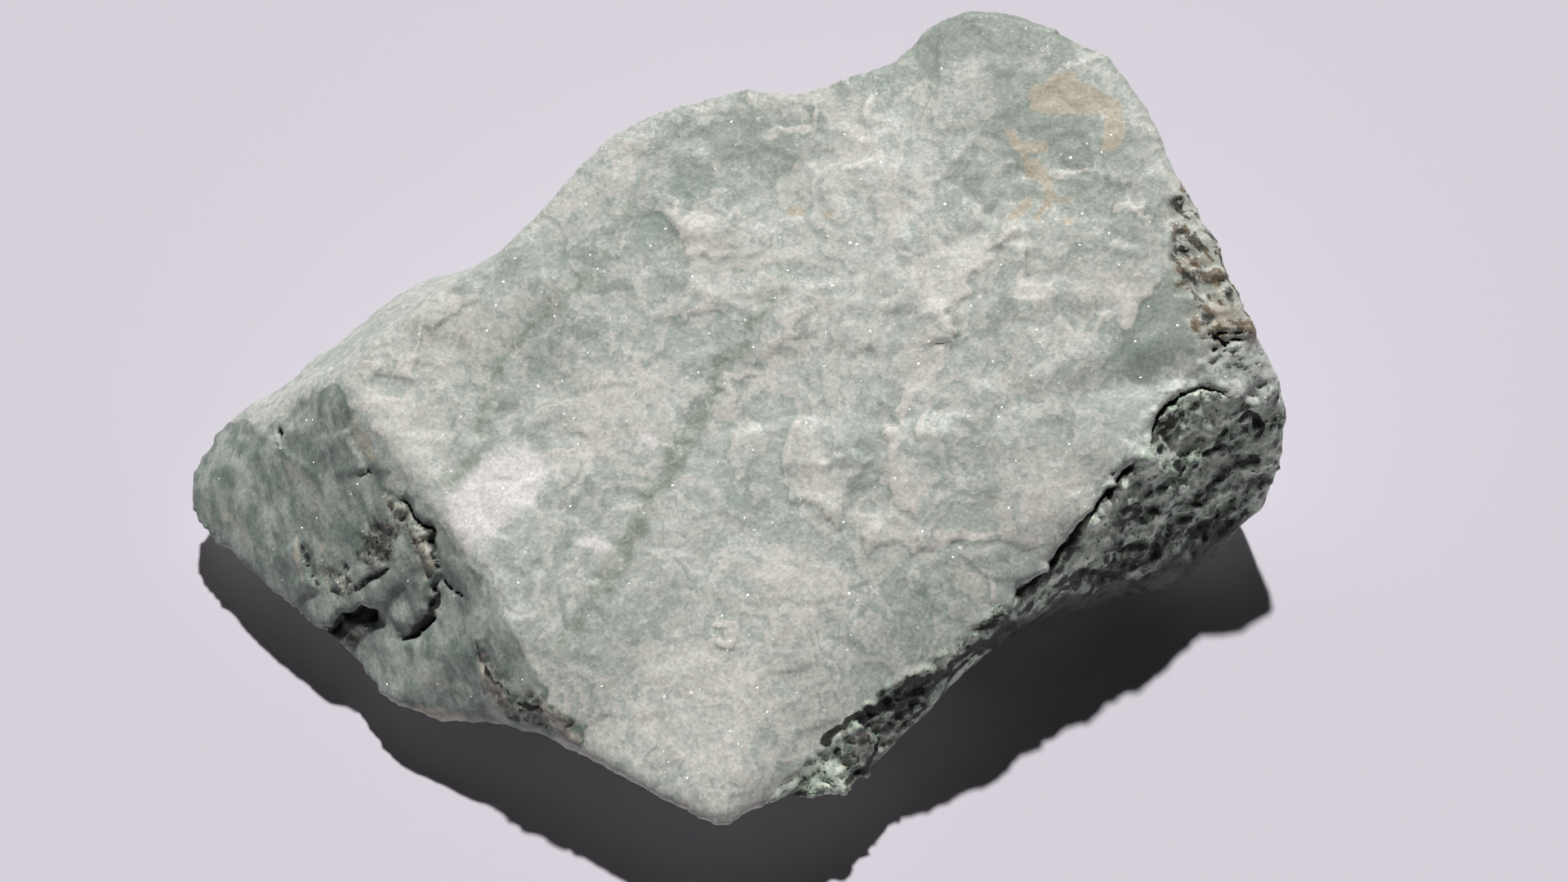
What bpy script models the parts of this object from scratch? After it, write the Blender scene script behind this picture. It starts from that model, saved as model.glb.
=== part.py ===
"""A hand specimen of pale green quartzite: one broken lump that rests on a small flat spot.

The lump is a cage of corner points, stretched over its broken faces, made into an even skin
and then shaped with ledges, cracks, hollows and lumps. Every size is in millimetres until
the mesh is made, +X is to the right of the large pale face and +Y is away from its low corner.
"""

import bpy
import numpy as np

NODE_NAME = "quartzite_rock"
MM = 0.001

# The large pale face: a plane through FACE_HEIGHT above the middle, rising by these slopes
FACE_HEIGHT = 24.0
FACE_SLOPE_X = 0.055
FACE_SLOPE_Y = 0.287
FACE_MIDDLE = (2.0, 0.0)
FACE_LOOPS = (0.12, 0.26, 0.42, 0.6, 0.8)
FACE_ROLL = 3.0

# The flat spot that it rests on, and the underside that leads out from it
SPOT_MIDDLE = (1.5, 10.0)
SPOT_HALF_LENGTH = 18.0
SPOT_HALF_WIDTH = 13.0
SPOT_WAVES = ((3, 0.16), (5, 0.12), (8, 0.07))
SPOT_SNAP = 0.25
SPOT_FADE = (0.0, 4.0)
UNDERSIDE_RISE = 0.36
UNDERSIDE_REACH = (0.55, 0.85)
UNDERSIDE_REACH_HEIGHTS = (10.0, 22.0)
HEEL_START = (46.0, 51.0)
HEEL_REACH = 0.9
HEEL_SHIFT = 4.0

# The steep back, which bulges a little below the edge of the pale face, unevenly along it
BACK_BULGE = 3.5
BACK_BULGE_SWING = 1.5
BACK_BULGE_HEIGHT = 0.5
BACK_BULGE_HEIGHT_SWING = 0.16
BACK_BULGE_PACE = 1.3

# The skin: its grid, and the triangles that stay
SKIN_GRID = 0.85
SKIN_SMOOTHING = 3
SKIN_SMOOTHNESS = 0.5
NORMAL_SMOOTHING = 4
TRIANGLES = 9000
SHARP_ANGLE = np.radians(35.0)

# Features are placed on a drawing of the rock as seen from the front, this far above the table.
# Their places are (across, up) on that drawing, in millimetres.
DRAWING_TILT = np.radians(55.0)

ROUGHNESS = 0.55
STONE_COLOUR = (0.42, 0.46, 0.41, 1.0)

# Corner pairs, clockwise from the left tip. The first corner of a pair is on the edge of the
# pale face and the second is on the widest line of the rock. Where the back has no second
# corner, it is worked out.
LEFT_TIP_AND_SHELF = (
    ((-45.0, 8.0, 23.6), (-64.0, 8.0, 7.5)),
    ((-45.0, 9.0, 23.8), (-62.0, 10.5, 8.5)),
    ((-44.5, 10.5, 24.2), (-60.0, 13.5, 9.5)),
    ((-43.0, 12.0, 24.6), (-55.0, 16.0, 10.5)),
    ((-41.5, 13.5, 25.0), (-51.0, 20.0, 11.5)),
    ((-40.0, 14.5, 25.5), (-48.0, 21.5, 12.5)),
    ((-37.5, 16.0, 26.3), (-42.0, 26.5, 14.0)),
    ((-35.5, 17.5, 27.0), (-38.5, 28.5, 15.0)),
    ((-32.5, 19.5, 28.0), (-33.5, 29.0, 16.5)),
    ((-29.5, 21.0, 28.8), (-30.5, 29.0, 19.0)),
)
BACK_EDGE = (
    (-27.0, 24.5, 29.3),
    (-22.5, 29.5, 31.0),
    (-18.0, 34.0, 32.5),
    (-12.0, 37.0, 33.5),
    (-5.0, 39.0, 34.2),
    (2.0, 38.0, 34.5),
    (8.0, 40.5, 35.5),
    (12.0, 42.5, 35.8),
    (15.5, 46.0, 37.0),
    (19.5, 47.0, 38.5),
    (25.0, 46.0, 38.5),
    (30.0, 43.5, 38.0),
    (34.5, 41.0, 37.5),
    (38.5, 34.0, 36.5),
    (41.5, 25.5, 34.5),
    (44.5, 20.5, 32.5),
    (48.0, 12.0, 29.5),
)
RIGHT_BULGE = (
    ((49.1, 7.3, 25.0), (51.5, 8.5, 24.0)),
    ((46.1, 5.4, 25.6), (52.5, 6.0, 20.5)),
    ((43.0, 6.0, 26.8), (52.5, 3.5, 14.0)),
    ((39.7, 4.1, 26.3), (51.5, 3.0, 8.5)),
    ((37.9, 1.1, 25.4), (48.5, 1.5, 6.0)),
    ((36.7, -1.3, 24.7), (45.5, -1.0, 5.0)),
    ((34.6, -3.1, 23.6), (41.0, -5.0, 5.5)),
)
DARK_SIDE = (
    ((31.0, -7.5, 21.8), (36.0, -6.5, 6.0)),
    ((27.0, -12.0, 19.0), (31.5, -8.5, 7.0)),
    ((23.0, -15.0, 17.5), (27.0, -10.5, 8.0)),
    ((20.0, -17.5, 16.5), (22.0, -14.0, 8.0)),
    ((16.5, -19.5, 15.8), (18.5, -17.0, 8.0)),
    ((10.0, -23.0, 14.2), (14.5, -22.5, 8.0)),
    ((8.0, -24.5, 13.7), (10.0, -28.0, 8.0)),
    ((5.0, -27.0, 13.2), (6.0, -32.5, 9.0)),
    ((1.5, -29.5, 12.8), (0.0, -33.5, 10.5)),
)
LOW_CORNER = (
    ((-6.0, -36.0, 12.4), (-6.0, -37.0, 11.5)),
    ((-13.0, -32.5, 12.2), (-13.0, -33.5, 11.0)),
    ((-20.0, -28.0, 12.0), (-20.5, -28.5, 10.8)),
)
LEFT_END = (
    ((-23.5, -25.5, 14.3), (-24.5, -26.0, 10.4)),
    ((-25.0, -23.0, 15.8), (-29.5, -24.0, 9.0)),
    ((-27.5, -18.0, 17.8), (-36.0, -22.0, 6.6)),
    ((-29.0, -14.0, 19.0), (-40.5, -20.0, 6.2)),
    ((-33.0, -8.0, 20.5), (-46.0, -13.0, 5.5)),
    ((-35.5, -5.0, 21.3), (-48.0, -12.0, 7.0)),
    ((-41.0, 2.5, 22.8), (-55.5, -5.0, 7.6)),
    ((-43.0, 5.0, 23.3), (-61.5, 0.5, 6.6)),
    ((-44.5, 6.5, 23.5), (-64.0, 5.0, 7.0)),
)

# Ledges: the line of the lip, whose high side is on its left, its height and how far it fades
LEDGES = (
    ([(-0.3, 15.0), (-0.7, 13.0), (-0.5, 11.0), (1.2, 9.0), (3.0, 8.0), (4.5, 6.5)], 0.7, 7.0),
    ([(10.5, 16.5), (9.7, 15.4), (10.4, 13.2), (10.0, 12.0), (10.7, 10.2), (11.1, 8.4)], 0.6, 6.0),
    ([(8.0, 5.0), (9.0, 3.3), (10.7, 4.4), (18.7, 4.5), (23.8, 3.4), (28.8, 3.0)], 0.5, 7.0),
    ([(18.0, 24.7), (16.5, 25.8), (17.0, 27.8), (20.3, 31.3), (23.7, 35.8)], 0.6, 6.0),
    ([(-11.4, 39.2), (-11.8, 36.0), (-9.8, 34.2), (-6.0, 32.2)], 0.5, 6.0),
    ([(-44.0, 21.5), (-39.0, 21.2), (-38.0, 25.0), (-35.4, 27.7), (-30.5, 30.5)], 0.5, 8.0),
    ([(35.4, 26.6), (35.7, 27.9), (37.0, 30.1), (38.4, 32.3)], 0.7, 5.0),
    ([(-38.7, -5.8), (-36.0, -4.0), (-35.2, -0.4), (-35.6, 2.0), (-37.2, 5.8)], 0.9, 4.0),
    ([(-46.5, -5.2), (-45.3, -3.2), (-43.4, -2.8), (-41.8, -4.6)], 1.2, 4.0),
    ([(-46.7, -0.9), (-48.0, 1.0), (-49.4, 4.3)], 0.7, 3.0),
)
LEDGE_RUN = 0.7
LEDGE_END = 0.12

# Cracks and crevices: the line, the half width and the depth
CRACKS = (
    ([(-38.0, 6.4), (-36.9, 5.7), (-35.6, 2.0), (-35.4, -0.4), (-36.1, -3.5), (-38.7, -5.6)], 0.8, 2.2),
    ([(-35.4, 0.7), (-34.0, -0.7), (-32.0, -2.0)], 0.6, 1.2),
    ([(-49.8, 2.7), (-47.7, -0.6)], 0.8, 1.4),
    ([(-47.5, -5.3), (-46.7, -4.1), (-45.3, -3.2), (-43.4, -3.2), (-42.6, -4.7)], 1.0, 2.2),
    ([(-52.5, 16.4), (-53.2, 13.5)], 0.8, 1.5),
    ([(45.2, 19.5), (43.1, 20.2), (41.4, 19.4), (38.9, 17.0), (36.6, 13.9)], 0.8, 2.0),
    ([(44.0, 25.7), (47.4, 24.1)], 1.0, 1.6),
)
CRACK_END = 0.15

# Hollows and lumps: the line through the middle, the half width, and the depth or height
HOLLOWS = (
    ([(-30.0, 25.5), (-27.0, 20.4), (-24.0, 15.5)], 4.0, 0.6),
    ([(35.0, 23.5), (38.2, 27.3), (41.5, 31.0)], 3.2, 1.2),
    ([(45.2, 13.9), (47.7, 16.2), (50.0, 17.5)], 1.8, 1.8),
    ([(42.5, 12.8), (46.2, 14.5)], 1.5, 1.2),
    ([(-27.0, -10.9), (-24.4, -12.5)], 1.6, 1.6),
    ([(-14.0, 34.0), (-16.0, 27.0)], 3.5, 0.5),
)
LUMPS = (
    ([(-52.6, 16.0), (-50.6, 13.6)], 1.4, 1.0),
    ([(-48.5, 18.5), (-44.0, 12.0), (-41.0, 6.0)], 3.2, 1.2),
    ([(-31.5, -6.2), (-29.8, -9.6), (-28.2, -12.5)], 0.9, 1.2),
    ([(-41.0, 3.0), (-38.5, -2.0)], 2.4, 1.0),
    ([(7.0, -15.5), (9.5, -16.8), (12.0, -18.2)], 1.5, 1.3),
    ([(37.5, 18.8), (42.0, 22.3), (47.5, 21.6)], 1.3, 0.8),
)

# Where the drawing's view and the dark side begin, by how the skin faces
SEEN_EDGE = (0.0, 0.25)
DARK_SIDE_LEAN = 0.6
DARK_SIDE_EDGE = (0.1, 0.45)

# The dark side's fibrous bands rise to the right
BAND_SPACING = 3.0
BAND_HEIGHT = 0.4
BAND_RISE = np.radians(33.0)
BAND_WANDER = 1.6
BAND_WANDER_SIZE = 5.0
BAND_SEED = 41

# Lumpiness: size, height and seed of each layer on the seen faces and on the hidden ones
SEEN_LAYERS = ((16.0, 0.35, 11), (6.0, 0.15, 12))
HIDDEN_LAYERS = ((19.0, 1.4, 21), (8.0, 0.4, 22))

# Broken facets: size, height, tilt, width of the step between them, and seed
SEEN_FACETS = ((14.0, 0.15, 0.02, 0.9, 31), (7.0, 0.1, 0.02, 0.8, 61))
HIDDEN_FACETS = ((17.0, 0.45, 0.07, 1.8, 32), (7.0, 0.12, 0.04, 1.2, 33))
FACET_WARP = 0.45
FACET_WARP_SIZE = 0.6
FACET_RAG = 0.25
FACET_RAG_SIZE = 1.6


def face_height(x, y):
    """Height of the pale face's plane."""
    return FACE_HEIGHT + FACE_SLOPE_X * x + FACE_SLOPE_Y * y


def corner_pairs():
    """Every corner pair, clockwise, with the back's second corners worked out."""
    back = []
    for i, (x, y, z) in enumerate(BACK_EDGE):
        out = BACK_BULGE + BACK_BULGE_SWING * np.sin(BACK_BULGE_PACE * i * 2)
        share = BACK_BULGE_HEIGHT + BACK_BULGE_HEIGHT_SWING * np.sin(BACK_BULGE_PACE * i)
        back.append(((x, y, z), (x, y + out, z * share)))
    return LEFT_TIP_AND_SHELF + tuple(back) + RIGHT_BULGE + DARK_SIDE + LOW_CORNER + LEFT_END


def face_loop(edges, share):
    """A loop on the pale face, this share of the way from its edge to its middle."""
    middle = np.array(FACE_MIDDLE)
    flat = edges[:, :2] * (1 - share) + middle * share
    drop = face_height(edges[:, 0], edges[:, 1]) - edges[:, 2]
    height = face_height(flat[:, 0], flat[:, 1]) - drop * (1 - share) ** FACE_ROLL
    return np.column_stack((flat, height))


def spot_loop(rims):
    """The rim of the flat spot, a point under each corner pair."""
    angle = np.arctan2(rims[:, 1] - SPOT_MIDDLE[1], rims[:, 0] - SPOT_MIDDLE[0])
    reach = 1 + sum(share * np.sin(count * angle + count) for count, share in SPOT_WAVES)
    across = SPOT_MIDDLE[0] + SPOT_HALF_LENGTH * reach * np.cos(angle)
    away = SPOT_MIDDLE[1] + SPOT_HALF_WIDTH * reach * np.sin(angle)
    return np.column_stack((across, away, np.zeros(len(rims))))


def underside_loop(rims, spot):
    """A loop between the widest line and the flat spot, low enough to round the underside.

    Under the right end it stands further out and back, which gives that end a blunt heel."""
    reach = np.interp(rims[:, 2], UNDERSIDE_REACH_HEIGHTS, UNDERSIDE_REACH)
    heel = smooth_step(rims[:, 0], *HEEL_START)
    reach = reach + (HEEL_REACH - reach) * heel
    flat = spot[:, :2] + (rims[:, :2] - spot[:, :2]) * reach[:, None]
    flat[:, 1] += HEEL_SHIFT * heel
    return np.column_stack((flat, rims[:, 2] * UNDERSIDE_RISE))


def cage():
    """Points and faces of the closed cage."""
    pairs = corner_pairs()
    edges = np.array([pair[0] for pair in pairs])
    rims = np.array([pair[1] for pair in pairs])
    spot = spot_loop(rims)
    loops = [face_loop(edges, share) for share in reversed(FACE_LOOPS)]
    loops += [edges, rims, underside_loop(rims, spot), spot]
    top = (*FACE_MIDDLE, face_height(*FACE_MIDDLE))
    bottom = (*SPOT_MIDDLE, 0.0)
    points = np.vstack(loops + [top, bottom])
    count = len(pairs)
    faces = []
    for i in range(count):
        after = (i + 1) % count
        faces.append((len(points) - 2, after, i))
        faces.append((len(points) - 1, (len(loops) - 1) * count + i, (len(loops) - 1) * count + after))
        for loop in range(len(loops) - 1):
            inner = loop * count
            outer = inner + count
            faces.append((inner + i, inner + after, outer + after, outer + i))
    return points, faces


def mesh_of(name, points, faces):
    """A Blender mesh in metres from points in millimetres."""
    mesh = bpy.data.meshes.new(name)
    mesh.from_pydata((np.asarray(points) * MM).tolist(), [], faces)
    mesh.update()
    return mesh


def with_modifier(mesh, kind, **values):
    """A copy of the mesh with one modifier applied."""
    helper = bpy.data.objects.new("helper", mesh)
    bpy.context.scene.collection.objects.link(helper)
    modifier = helper.modifiers.new("made", kind)
    for name, value in values.items():
        setattr(modifier, name, value)
    graph = bpy.context.evaluated_depsgraph_get()
    made = bpy.data.meshes.new_from_object(helper.evaluated_get(graph))
    bpy.data.objects.remove(helper)
    return made


def points_of(mesh):
    """The mesh's points in millimetres."""
    points = np.empty(len(mesh.vertices) * 3)
    mesh.vertices.foreach_get("co", points)
    return points.reshape(-1, 3) / MM


def normals_of(mesh):
    """The direction that the skin faces at each point."""
    normals = np.empty(len(mesh.vertices) * 3)
    mesh.vertex_normals.foreach_get("vector", normals)
    return normals.reshape(-1, 3)


def evened(mesh, values, rounds):
    """Directions at the mesh's points, averaged with their neighbours' this many times."""
    ends = np.empty(len(mesh.edges) * 2, int)
    mesh.edges.foreach_get("vertices", ends)
    first, second = ends.reshape(-1, 2).T
    for _ in range(rounds):
        total = values.copy()
        for axis in range(3):
            total[:, axis] += np.bincount(first, values[second, axis], len(values))
            total[:, axis] += np.bincount(second, values[first, axis], len(values))
        values = total / np.linalg.norm(total, axis=1)[:, None]
    return values


def set_points(mesh, points):
    """Writes points in millimetres back to the mesh."""
    mesh.vertices.foreach_set("co", (points * MM).ravel())
    mesh.update()


def smooth_step(values, start, end):
    """0 up to start, 1 from end, with a soft rise between them."""
    share = np.clip((values - start) / (end - start), 0.0, 1.0)
    return share * share * (3 - 2 * share)


def soft_noise(points, size, seed):
    """Smooth noise from -1 to 1 in lumps of about this size."""
    cells = 32
    lattice = np.random.default_rng(seed).uniform(-1.0, 1.0, (cells, cells, cells))
    place = points / size + 100.0
    low = np.floor(place).astype(int)
    part = place - low
    part = part * part * (3 - 2 * part)
    total = np.zeros(len(points))
    for corner in range(8):
        step = np.array([corner & 1, corner >> 1 & 1, corner >> 2 & 1])
        index = (low + step) % cells
        weight = np.prod(np.where(step == 1, part, 1 - part), axis=1)
        total += weight * lattice[index[:, 0], index[:, 1], index[:, 2]]
    return total


def from_line(places, line):
    """Distance of each place from a line of points, positive on its left, and the share along it."""
    line = np.array(line, float)
    best = np.full(len(places), np.inf)
    side = np.ones(len(places))
    along = np.zeros(len(places))
    squareness = np.full(len(places), -1.0)
    lengths = np.linalg.norm(np.diff(line, axis=0), axis=1)
    starts = np.concatenate(([0.0], np.cumsum(lengths)))
    for i, length in enumerate(lengths):
        direction = (line[i + 1] - line[i]) / length
        offset = places - line[i]
        run = np.clip(offset @ direction, 0.0, length)
        gap = offset - run[:, None] * direction
        distance = np.hypot(gap[:, 0], gap[:, 1])
        cross = direction[0] * offset[:, 1] - direction[1] * offset[:, 0]
        square = np.abs(cross) / np.maximum(distance, 1e-9)
        tied = np.abs(distance - best) < 1e-6
        nearer = (distance < best - 1e-6) | (tied & (square > squareness))
        best = np.where(nearer, distance, best)
        squareness = np.where(nearer, square, squareness)
        side = np.where(nearer, np.where(cross >= 0, 1.0, -1.0), side)
        along = np.where(nearer, (starts[i] + run) / starts[-1], along)
    return best * side, along


def ledge(places, line, height, fade):
    """Raised ground behind a lip, which fades away from it and towards the lip's ends."""
    distance, along = from_line(places, line)
    ends = smooth_step(along, 0.0, LEDGE_END) * (1 - smooth_step(along, 1 - LEDGE_END, 1.0))
    rise = smooth_step(distance, -LEDGE_RUN / 2, LEDGE_RUN / 2)
    return height * rise * ends * np.exp(-np.maximum(distance, 0.0) / fade)


def ridge(places, line, half_width, height):
    """A long round lump along a line."""
    distance, _ = from_line(places, line)
    return height * np.exp(-((distance / half_width) ** 2))


def crack(places, line, half_width, depth):
    """A groove with a sharp bottom, which closes towards the line's ends."""
    distance, along = from_line(places, line)
    ends = smooth_step(along, 0.0, CRACK_END) * (1 - smooth_step(along, 1 - CRACK_END, 1.0))
    return depth * ends * np.exp(-np.abs(distance) / half_width)


def nearest_seeds(points, size, seed):
    """For each point the gaps to the two nearest of a scatter of seeds, with a number for each seed."""
    cells = 64
    jitter = np.random.default_rng(seed).uniform(0.0, 1.0, (cells**3, 3))
    place = points / size + 200.0
    low = np.floor(place).astype(int)
    near = np.full(len(points), np.inf)
    second = np.full(len(points), np.inf)
    near_name = np.zeros(len(points), int)
    second_name = np.zeros(len(points), int)
    near_gap = np.zeros((len(points), 3))
    second_gap = np.zeros((len(points), 3))
    for step in np.ndindex(3, 3, 3):
        cell = low + np.array(step) - 1
        index = cell % cells
        name = (index[:, 0] * cells + index[:, 1]) * cells + index[:, 2]
        gap = place - cell - jitter[name]
        distance = np.linalg.norm(gap, axis=1)
        first = distance < near
        middle = ~first & (distance < second)
        second = np.where(first, near, np.where(middle, distance, second))
        second_name = np.where(first, near_name, np.where(middle, name, second_name))
        second_gap = np.where(first[:, None], near_gap, np.where(middle[:, None], gap, second_gap))
        near = np.where(first, distance, near)
        near_name = np.where(first, name, near_name)
        near_gap = np.where(first[:, None], gap, near_gap)
    return near * size, near_name, near_gap * size, second * size, second_name, second_gap * size


def facets(points, size, height, tilt, step, seed):
    """Small broken facets: each has its own height and tilt, and meets the next in a ragged step."""
    warp = [soft_noise(points, size * FACET_WARP_SIZE, seed + 10 + i) for i in range(3)]
    rag = [soft_noise(points, FACET_RAG_SIZE, seed + 20 + i) for i in range(3)]
    moved = points + FACET_WARP * size * np.column_stack(warp) + FACET_RAG * np.column_stack(rag)
    near, near_name, near_gap, second, second_name, second_gap = nearest_seeds(moved, size, seed)
    chance = np.random.default_rng(seed + 1)
    heights = chance.uniform(-height, height, 64**3)
    tilts = chance.normal(0.0, tilt, (64**3, 3))
    first = heights[near_name] + (near_gap * tilts[near_name]).sum(axis=1)
    other = heights[second_name] + (second_gap * tilts[second_name]).sum(axis=1)
    share = 0.5 + 0.5 * smooth_step(second - near, 0.0, step)
    return first * share + other * (1 - share)


def layered(points, lumps, facet_layers):
    """Lumps and facets added up."""
    lift = np.zeros(len(points))
    for size, height, seed in lumps:
        lift += height * soft_noise(points, size, seed)
    for layer in facet_layers:
        lift += facets(points, *layer)
    return lift


def bands(points, places):
    """Fibrous bands that rise to the right, uneven in place and height."""
    across = places[:, 1] * np.cos(BAND_RISE) - places[:, 0] * np.sin(BAND_RISE)
    across += BAND_WANDER * soft_noise(points, BAND_WANDER_SIZE, BAND_SEED)
    height = BAND_HEIGHT * (1 + soft_noise(points, BAND_WANDER_SIZE, BAND_SEED + 1))
    return height * np.sin(across * 2 * np.pi / BAND_SPACING)


def shaped(points, normals):
    """The skin's points moved by every feature."""
    up_share = np.cos(DRAWING_TILT)
    away_share = np.sin(DRAWING_TILT)
    places = np.column_stack((points[:, 0], points[:, 1] * away_share + points[:, 2] * up_share))
    facing = normals[:, 2] * away_share - normals[:, 1] * up_share
    seen = smooth_step(facing, *SEEN_EDGE)
    lift = np.zeros(len(points))
    for line, height, fade in LEDGES:
        lift += ledge(places, line, height, fade)
    for line, half_width, height in LUMPS:
        lift += ridge(places, line, half_width, height)
    for line, half_width, depth in HOLLOWS:
        lift -= ridge(places, line, half_width, depth)
    for line, half_width, depth in CRACKS:
        lift -= crack(places, line, half_width, depth)
    dark_side = smooth_step(normals[:, 0] - DARK_SIDE_LEAN * normals[:, 2], *DARK_SIDE_EDGE)
    lift += bands(points, places) * dark_side
    lift += layered(points, SEEN_LAYERS, SEEN_FACETS)
    hidden_lift = layered(points, HIDDEN_LAYERS, HIDDEN_FACETS) * smooth_step(points[:, 2], *SPOT_FADE)
    lift = lift * seen + hidden_lift * (1 - seen)
    return points + normals * lift[:, None]


def rested(points):
    """The flat spot made flat again."""
    flat = points.copy()
    flat[:, 2] = np.where(flat[:, 2] < SPOT_SNAP, 0.0, flat[:, 2])
    return flat


def centred(points):
    """The footprint's middle moved over the origin."""
    middle = (points.min(axis=0) + points.max(axis=0)) / 2
    return points - (middle[0], middle[1], 0.0)


def stone_material():
    """Pale green quartzite."""
    material = bpy.data.materials.new("quartzite")
    material.use_nodes = True
    shader = material.node_tree.nodes["Principled BSDF"]
    shader.inputs["Base Color"].default_value = STONE_COLOUR
    shader.inputs["Roughness"].default_value = ROUGHNESS
    shader.inputs["Metallic"].default_value = 0.0
    return material


def make_rock():
    """The rock as one closed mesh."""
    skin = with_modifier(mesh_of("cage", *cage()), "REMESH", mode="VOXEL", voxel_size=SKIN_GRID * MM)
    skin = with_modifier(skin, "SMOOTH", factor=SKIN_SMOOTHNESS, iterations=SKIN_SMOOTHING)
    set_points(skin, rested(shaped(points_of(skin), evened(skin, normals_of(skin), NORMAL_SMOOTHING))))
    skin.calc_loop_triangles()
    share = TRIANGLES / len(skin.loop_triangles)
    mesh = with_modifier(skin, "DECIMATE", ratio=share, use_collapse_triangulate=True)
    set_points(mesh, centred(rested(points_of(mesh))))
    mesh.name = NODE_NAME
    mesh.materials.append(stone_material())
    mesh.shade_smooth()
    mesh.set_sharp_from_angle(angle=SHARP_ANGLE)
    rock = bpy.data.objects.new(NODE_NAME, mesh)
    bpy.context.scene.collection.objects.link(rock)


def clear_scene():
    """Removes whatever the scene holds."""
    for thing in list(bpy.data.objects):
        bpy.data.objects.remove(thing)


clear_scene()
make_rock()
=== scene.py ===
"""The finish of a quartzite hand specimen: its dense broken surface, its colours and its light."""

import bmesh
import bpy
import numpy as np
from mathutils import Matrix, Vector


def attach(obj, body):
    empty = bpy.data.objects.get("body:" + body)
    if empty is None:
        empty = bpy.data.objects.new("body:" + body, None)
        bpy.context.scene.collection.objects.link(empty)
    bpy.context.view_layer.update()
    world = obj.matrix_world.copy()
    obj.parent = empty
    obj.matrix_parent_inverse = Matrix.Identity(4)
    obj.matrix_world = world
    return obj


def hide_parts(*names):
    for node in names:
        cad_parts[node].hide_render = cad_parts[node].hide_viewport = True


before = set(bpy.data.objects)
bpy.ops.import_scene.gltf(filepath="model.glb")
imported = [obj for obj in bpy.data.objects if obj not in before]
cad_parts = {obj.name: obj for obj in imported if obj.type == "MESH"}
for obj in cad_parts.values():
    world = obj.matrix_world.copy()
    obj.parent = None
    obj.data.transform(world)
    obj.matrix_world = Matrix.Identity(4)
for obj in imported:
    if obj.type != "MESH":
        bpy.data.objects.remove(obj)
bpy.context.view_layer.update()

NODE_NAME = "quartzite_rock"
MM = 0.001
TINY = 1e-9
TIE = 1e-6

# The cage's own origin, seen from the middle of the footprint, in millimetres
CAGE_MIDDLE = np.array([-5.297, 7.264, 0.0])

# The photograph's view: its height above the table, its lens and its distance in millimetres
VIEW_TILT = np.radians(55.0)
VIEW_DISTANCE = 376.0
VIEW_TARGET_HEIGHT = 25.2
LENS = 85.0
SENSOR = 36.0
PICTURE = (1920, 1080)
VIEW_START = 0.01

# Light and floor: the sun's strength, its width and height in degrees, and the paper
SUN_STRENGTH = 3.1
SUN_WIDTH = 2.5
SUN_HEIGHT = 62.5
STUDIO_COLOUR = (1.0, 1.0, 1.0, 1.0)
STUDIO_STRENGTH = 0.012
FLOOR_HALF = 3.0
FLOOR_CORNERS = ((-1, -1), (1, -1), (1, 1), (-1, 1))
PAPER = (0.74, 0.70, 0.77, 1.0)
PAPER_ROUGHNESS = 0.9

# The cage: the same corners and sizes as the solid's, in millimetres
FACE_HEIGHT = 24.0
FACE_SLOPE_X = 0.055
FACE_SLOPE_Y = 0.287
FACE_MIDDLE = (2.0, 0.0)
FACE_LOOPS = (0.12, 0.26, 0.42, 0.6, 0.8)
FACE_ROLL = 3.0
SPOT_MIDDLE = (1.5, 10.0)
SPOT_HALF_LENGTH = 18.0
SPOT_HALF_WIDTH = 13.0
SPOT_WAVES = ((3, 0.16), (5, 0.12), (8, 0.07))
SPOT_SNAP = 0.25
SPOT_FADE = (0.0, 4.0)
UNDERSIDE_RISE = 0.36
UNDERSIDE_REACH = (0.55, 0.85)
UNDERSIDE_REACH_HEIGHTS = (10.0, 22.0)
HEEL_START = (46.0, 51.0)
HEEL_REACH = 0.9
HEEL_SHIFT = 4.0
BACK_BULGE = 3.5
BACK_BULGE_SWING = 1.5
BACK_BULGE_HEIGHT = 0.5
BACK_BULGE_HEIGHT_SWING = 0.16
BACK_BULGE_PACE = 1.3

# Corner pairs, each from the pale face's edge to the rock's widest line below it
LEFT_TIP_AND_SHELF = (
    ((-45, 8, 23.6), (-64, 8, 7.5)), ((-45, 9, 23.8), (-62, 10.5, 8.5)),
    ((-44.5, 10.5, 24.2), (-60, 13.5, 9.5)), ((-43, 12, 24.6), (-55, 16, 10.5)),
    ((-41.5, 13.5, 25), (-51, 20, 11.5)), ((-40, 14.5, 25.5), (-48, 21.5, 12.5)),
    ((-37.5, 16, 26.3), (-42, 26.5, 14)), ((-35.5, 17.5, 27), (-38.5, 28.5, 15)),
    ((-32.5, 19.5, 28), (-33.5, 29, 16.5)), ((-29.5, 21, 28.8), (-30.5, 29, 19)),
)
BACK_EDGE = (
    (-27, 24.5, 29.3), (-22.5, 29.5, 31), (-18, 34, 32.5), (-12, 37, 33.5), (-5, 39, 34.2), (2, 38, 34.5),
    (8, 40.5, 35.5), (12, 42.5, 35.8), (15.5, 46, 37), (19.5, 47, 38.5), (25, 46, 38.5), (30, 43.5, 38),
    (34.5, 41, 37.5), (38.5, 34, 36.5), (41.5, 25.5, 34.5), (44.5, 20.5, 32.5), (48, 12, 29.5),
)
RIGHT_BULGE = (
    ((49.1, 7.3, 25), (51.5, 8.5, 24)), ((46.1, 5.4, 25.6), (52.5, 6, 20.5)),
    ((43, 6, 26.8), (52.5, 3.5, 14)), ((39.7, 4.1, 26.3), (51.5, 3, 8.5)),
    ((37.9, 1.1, 25.4), (48.5, 1.5, 6)), ((36.7, -1.3, 24.7), (45.5, -1, 5)),
    ((34.6, -3.1, 23.6), (41, -5, 5.5)),
)
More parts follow.
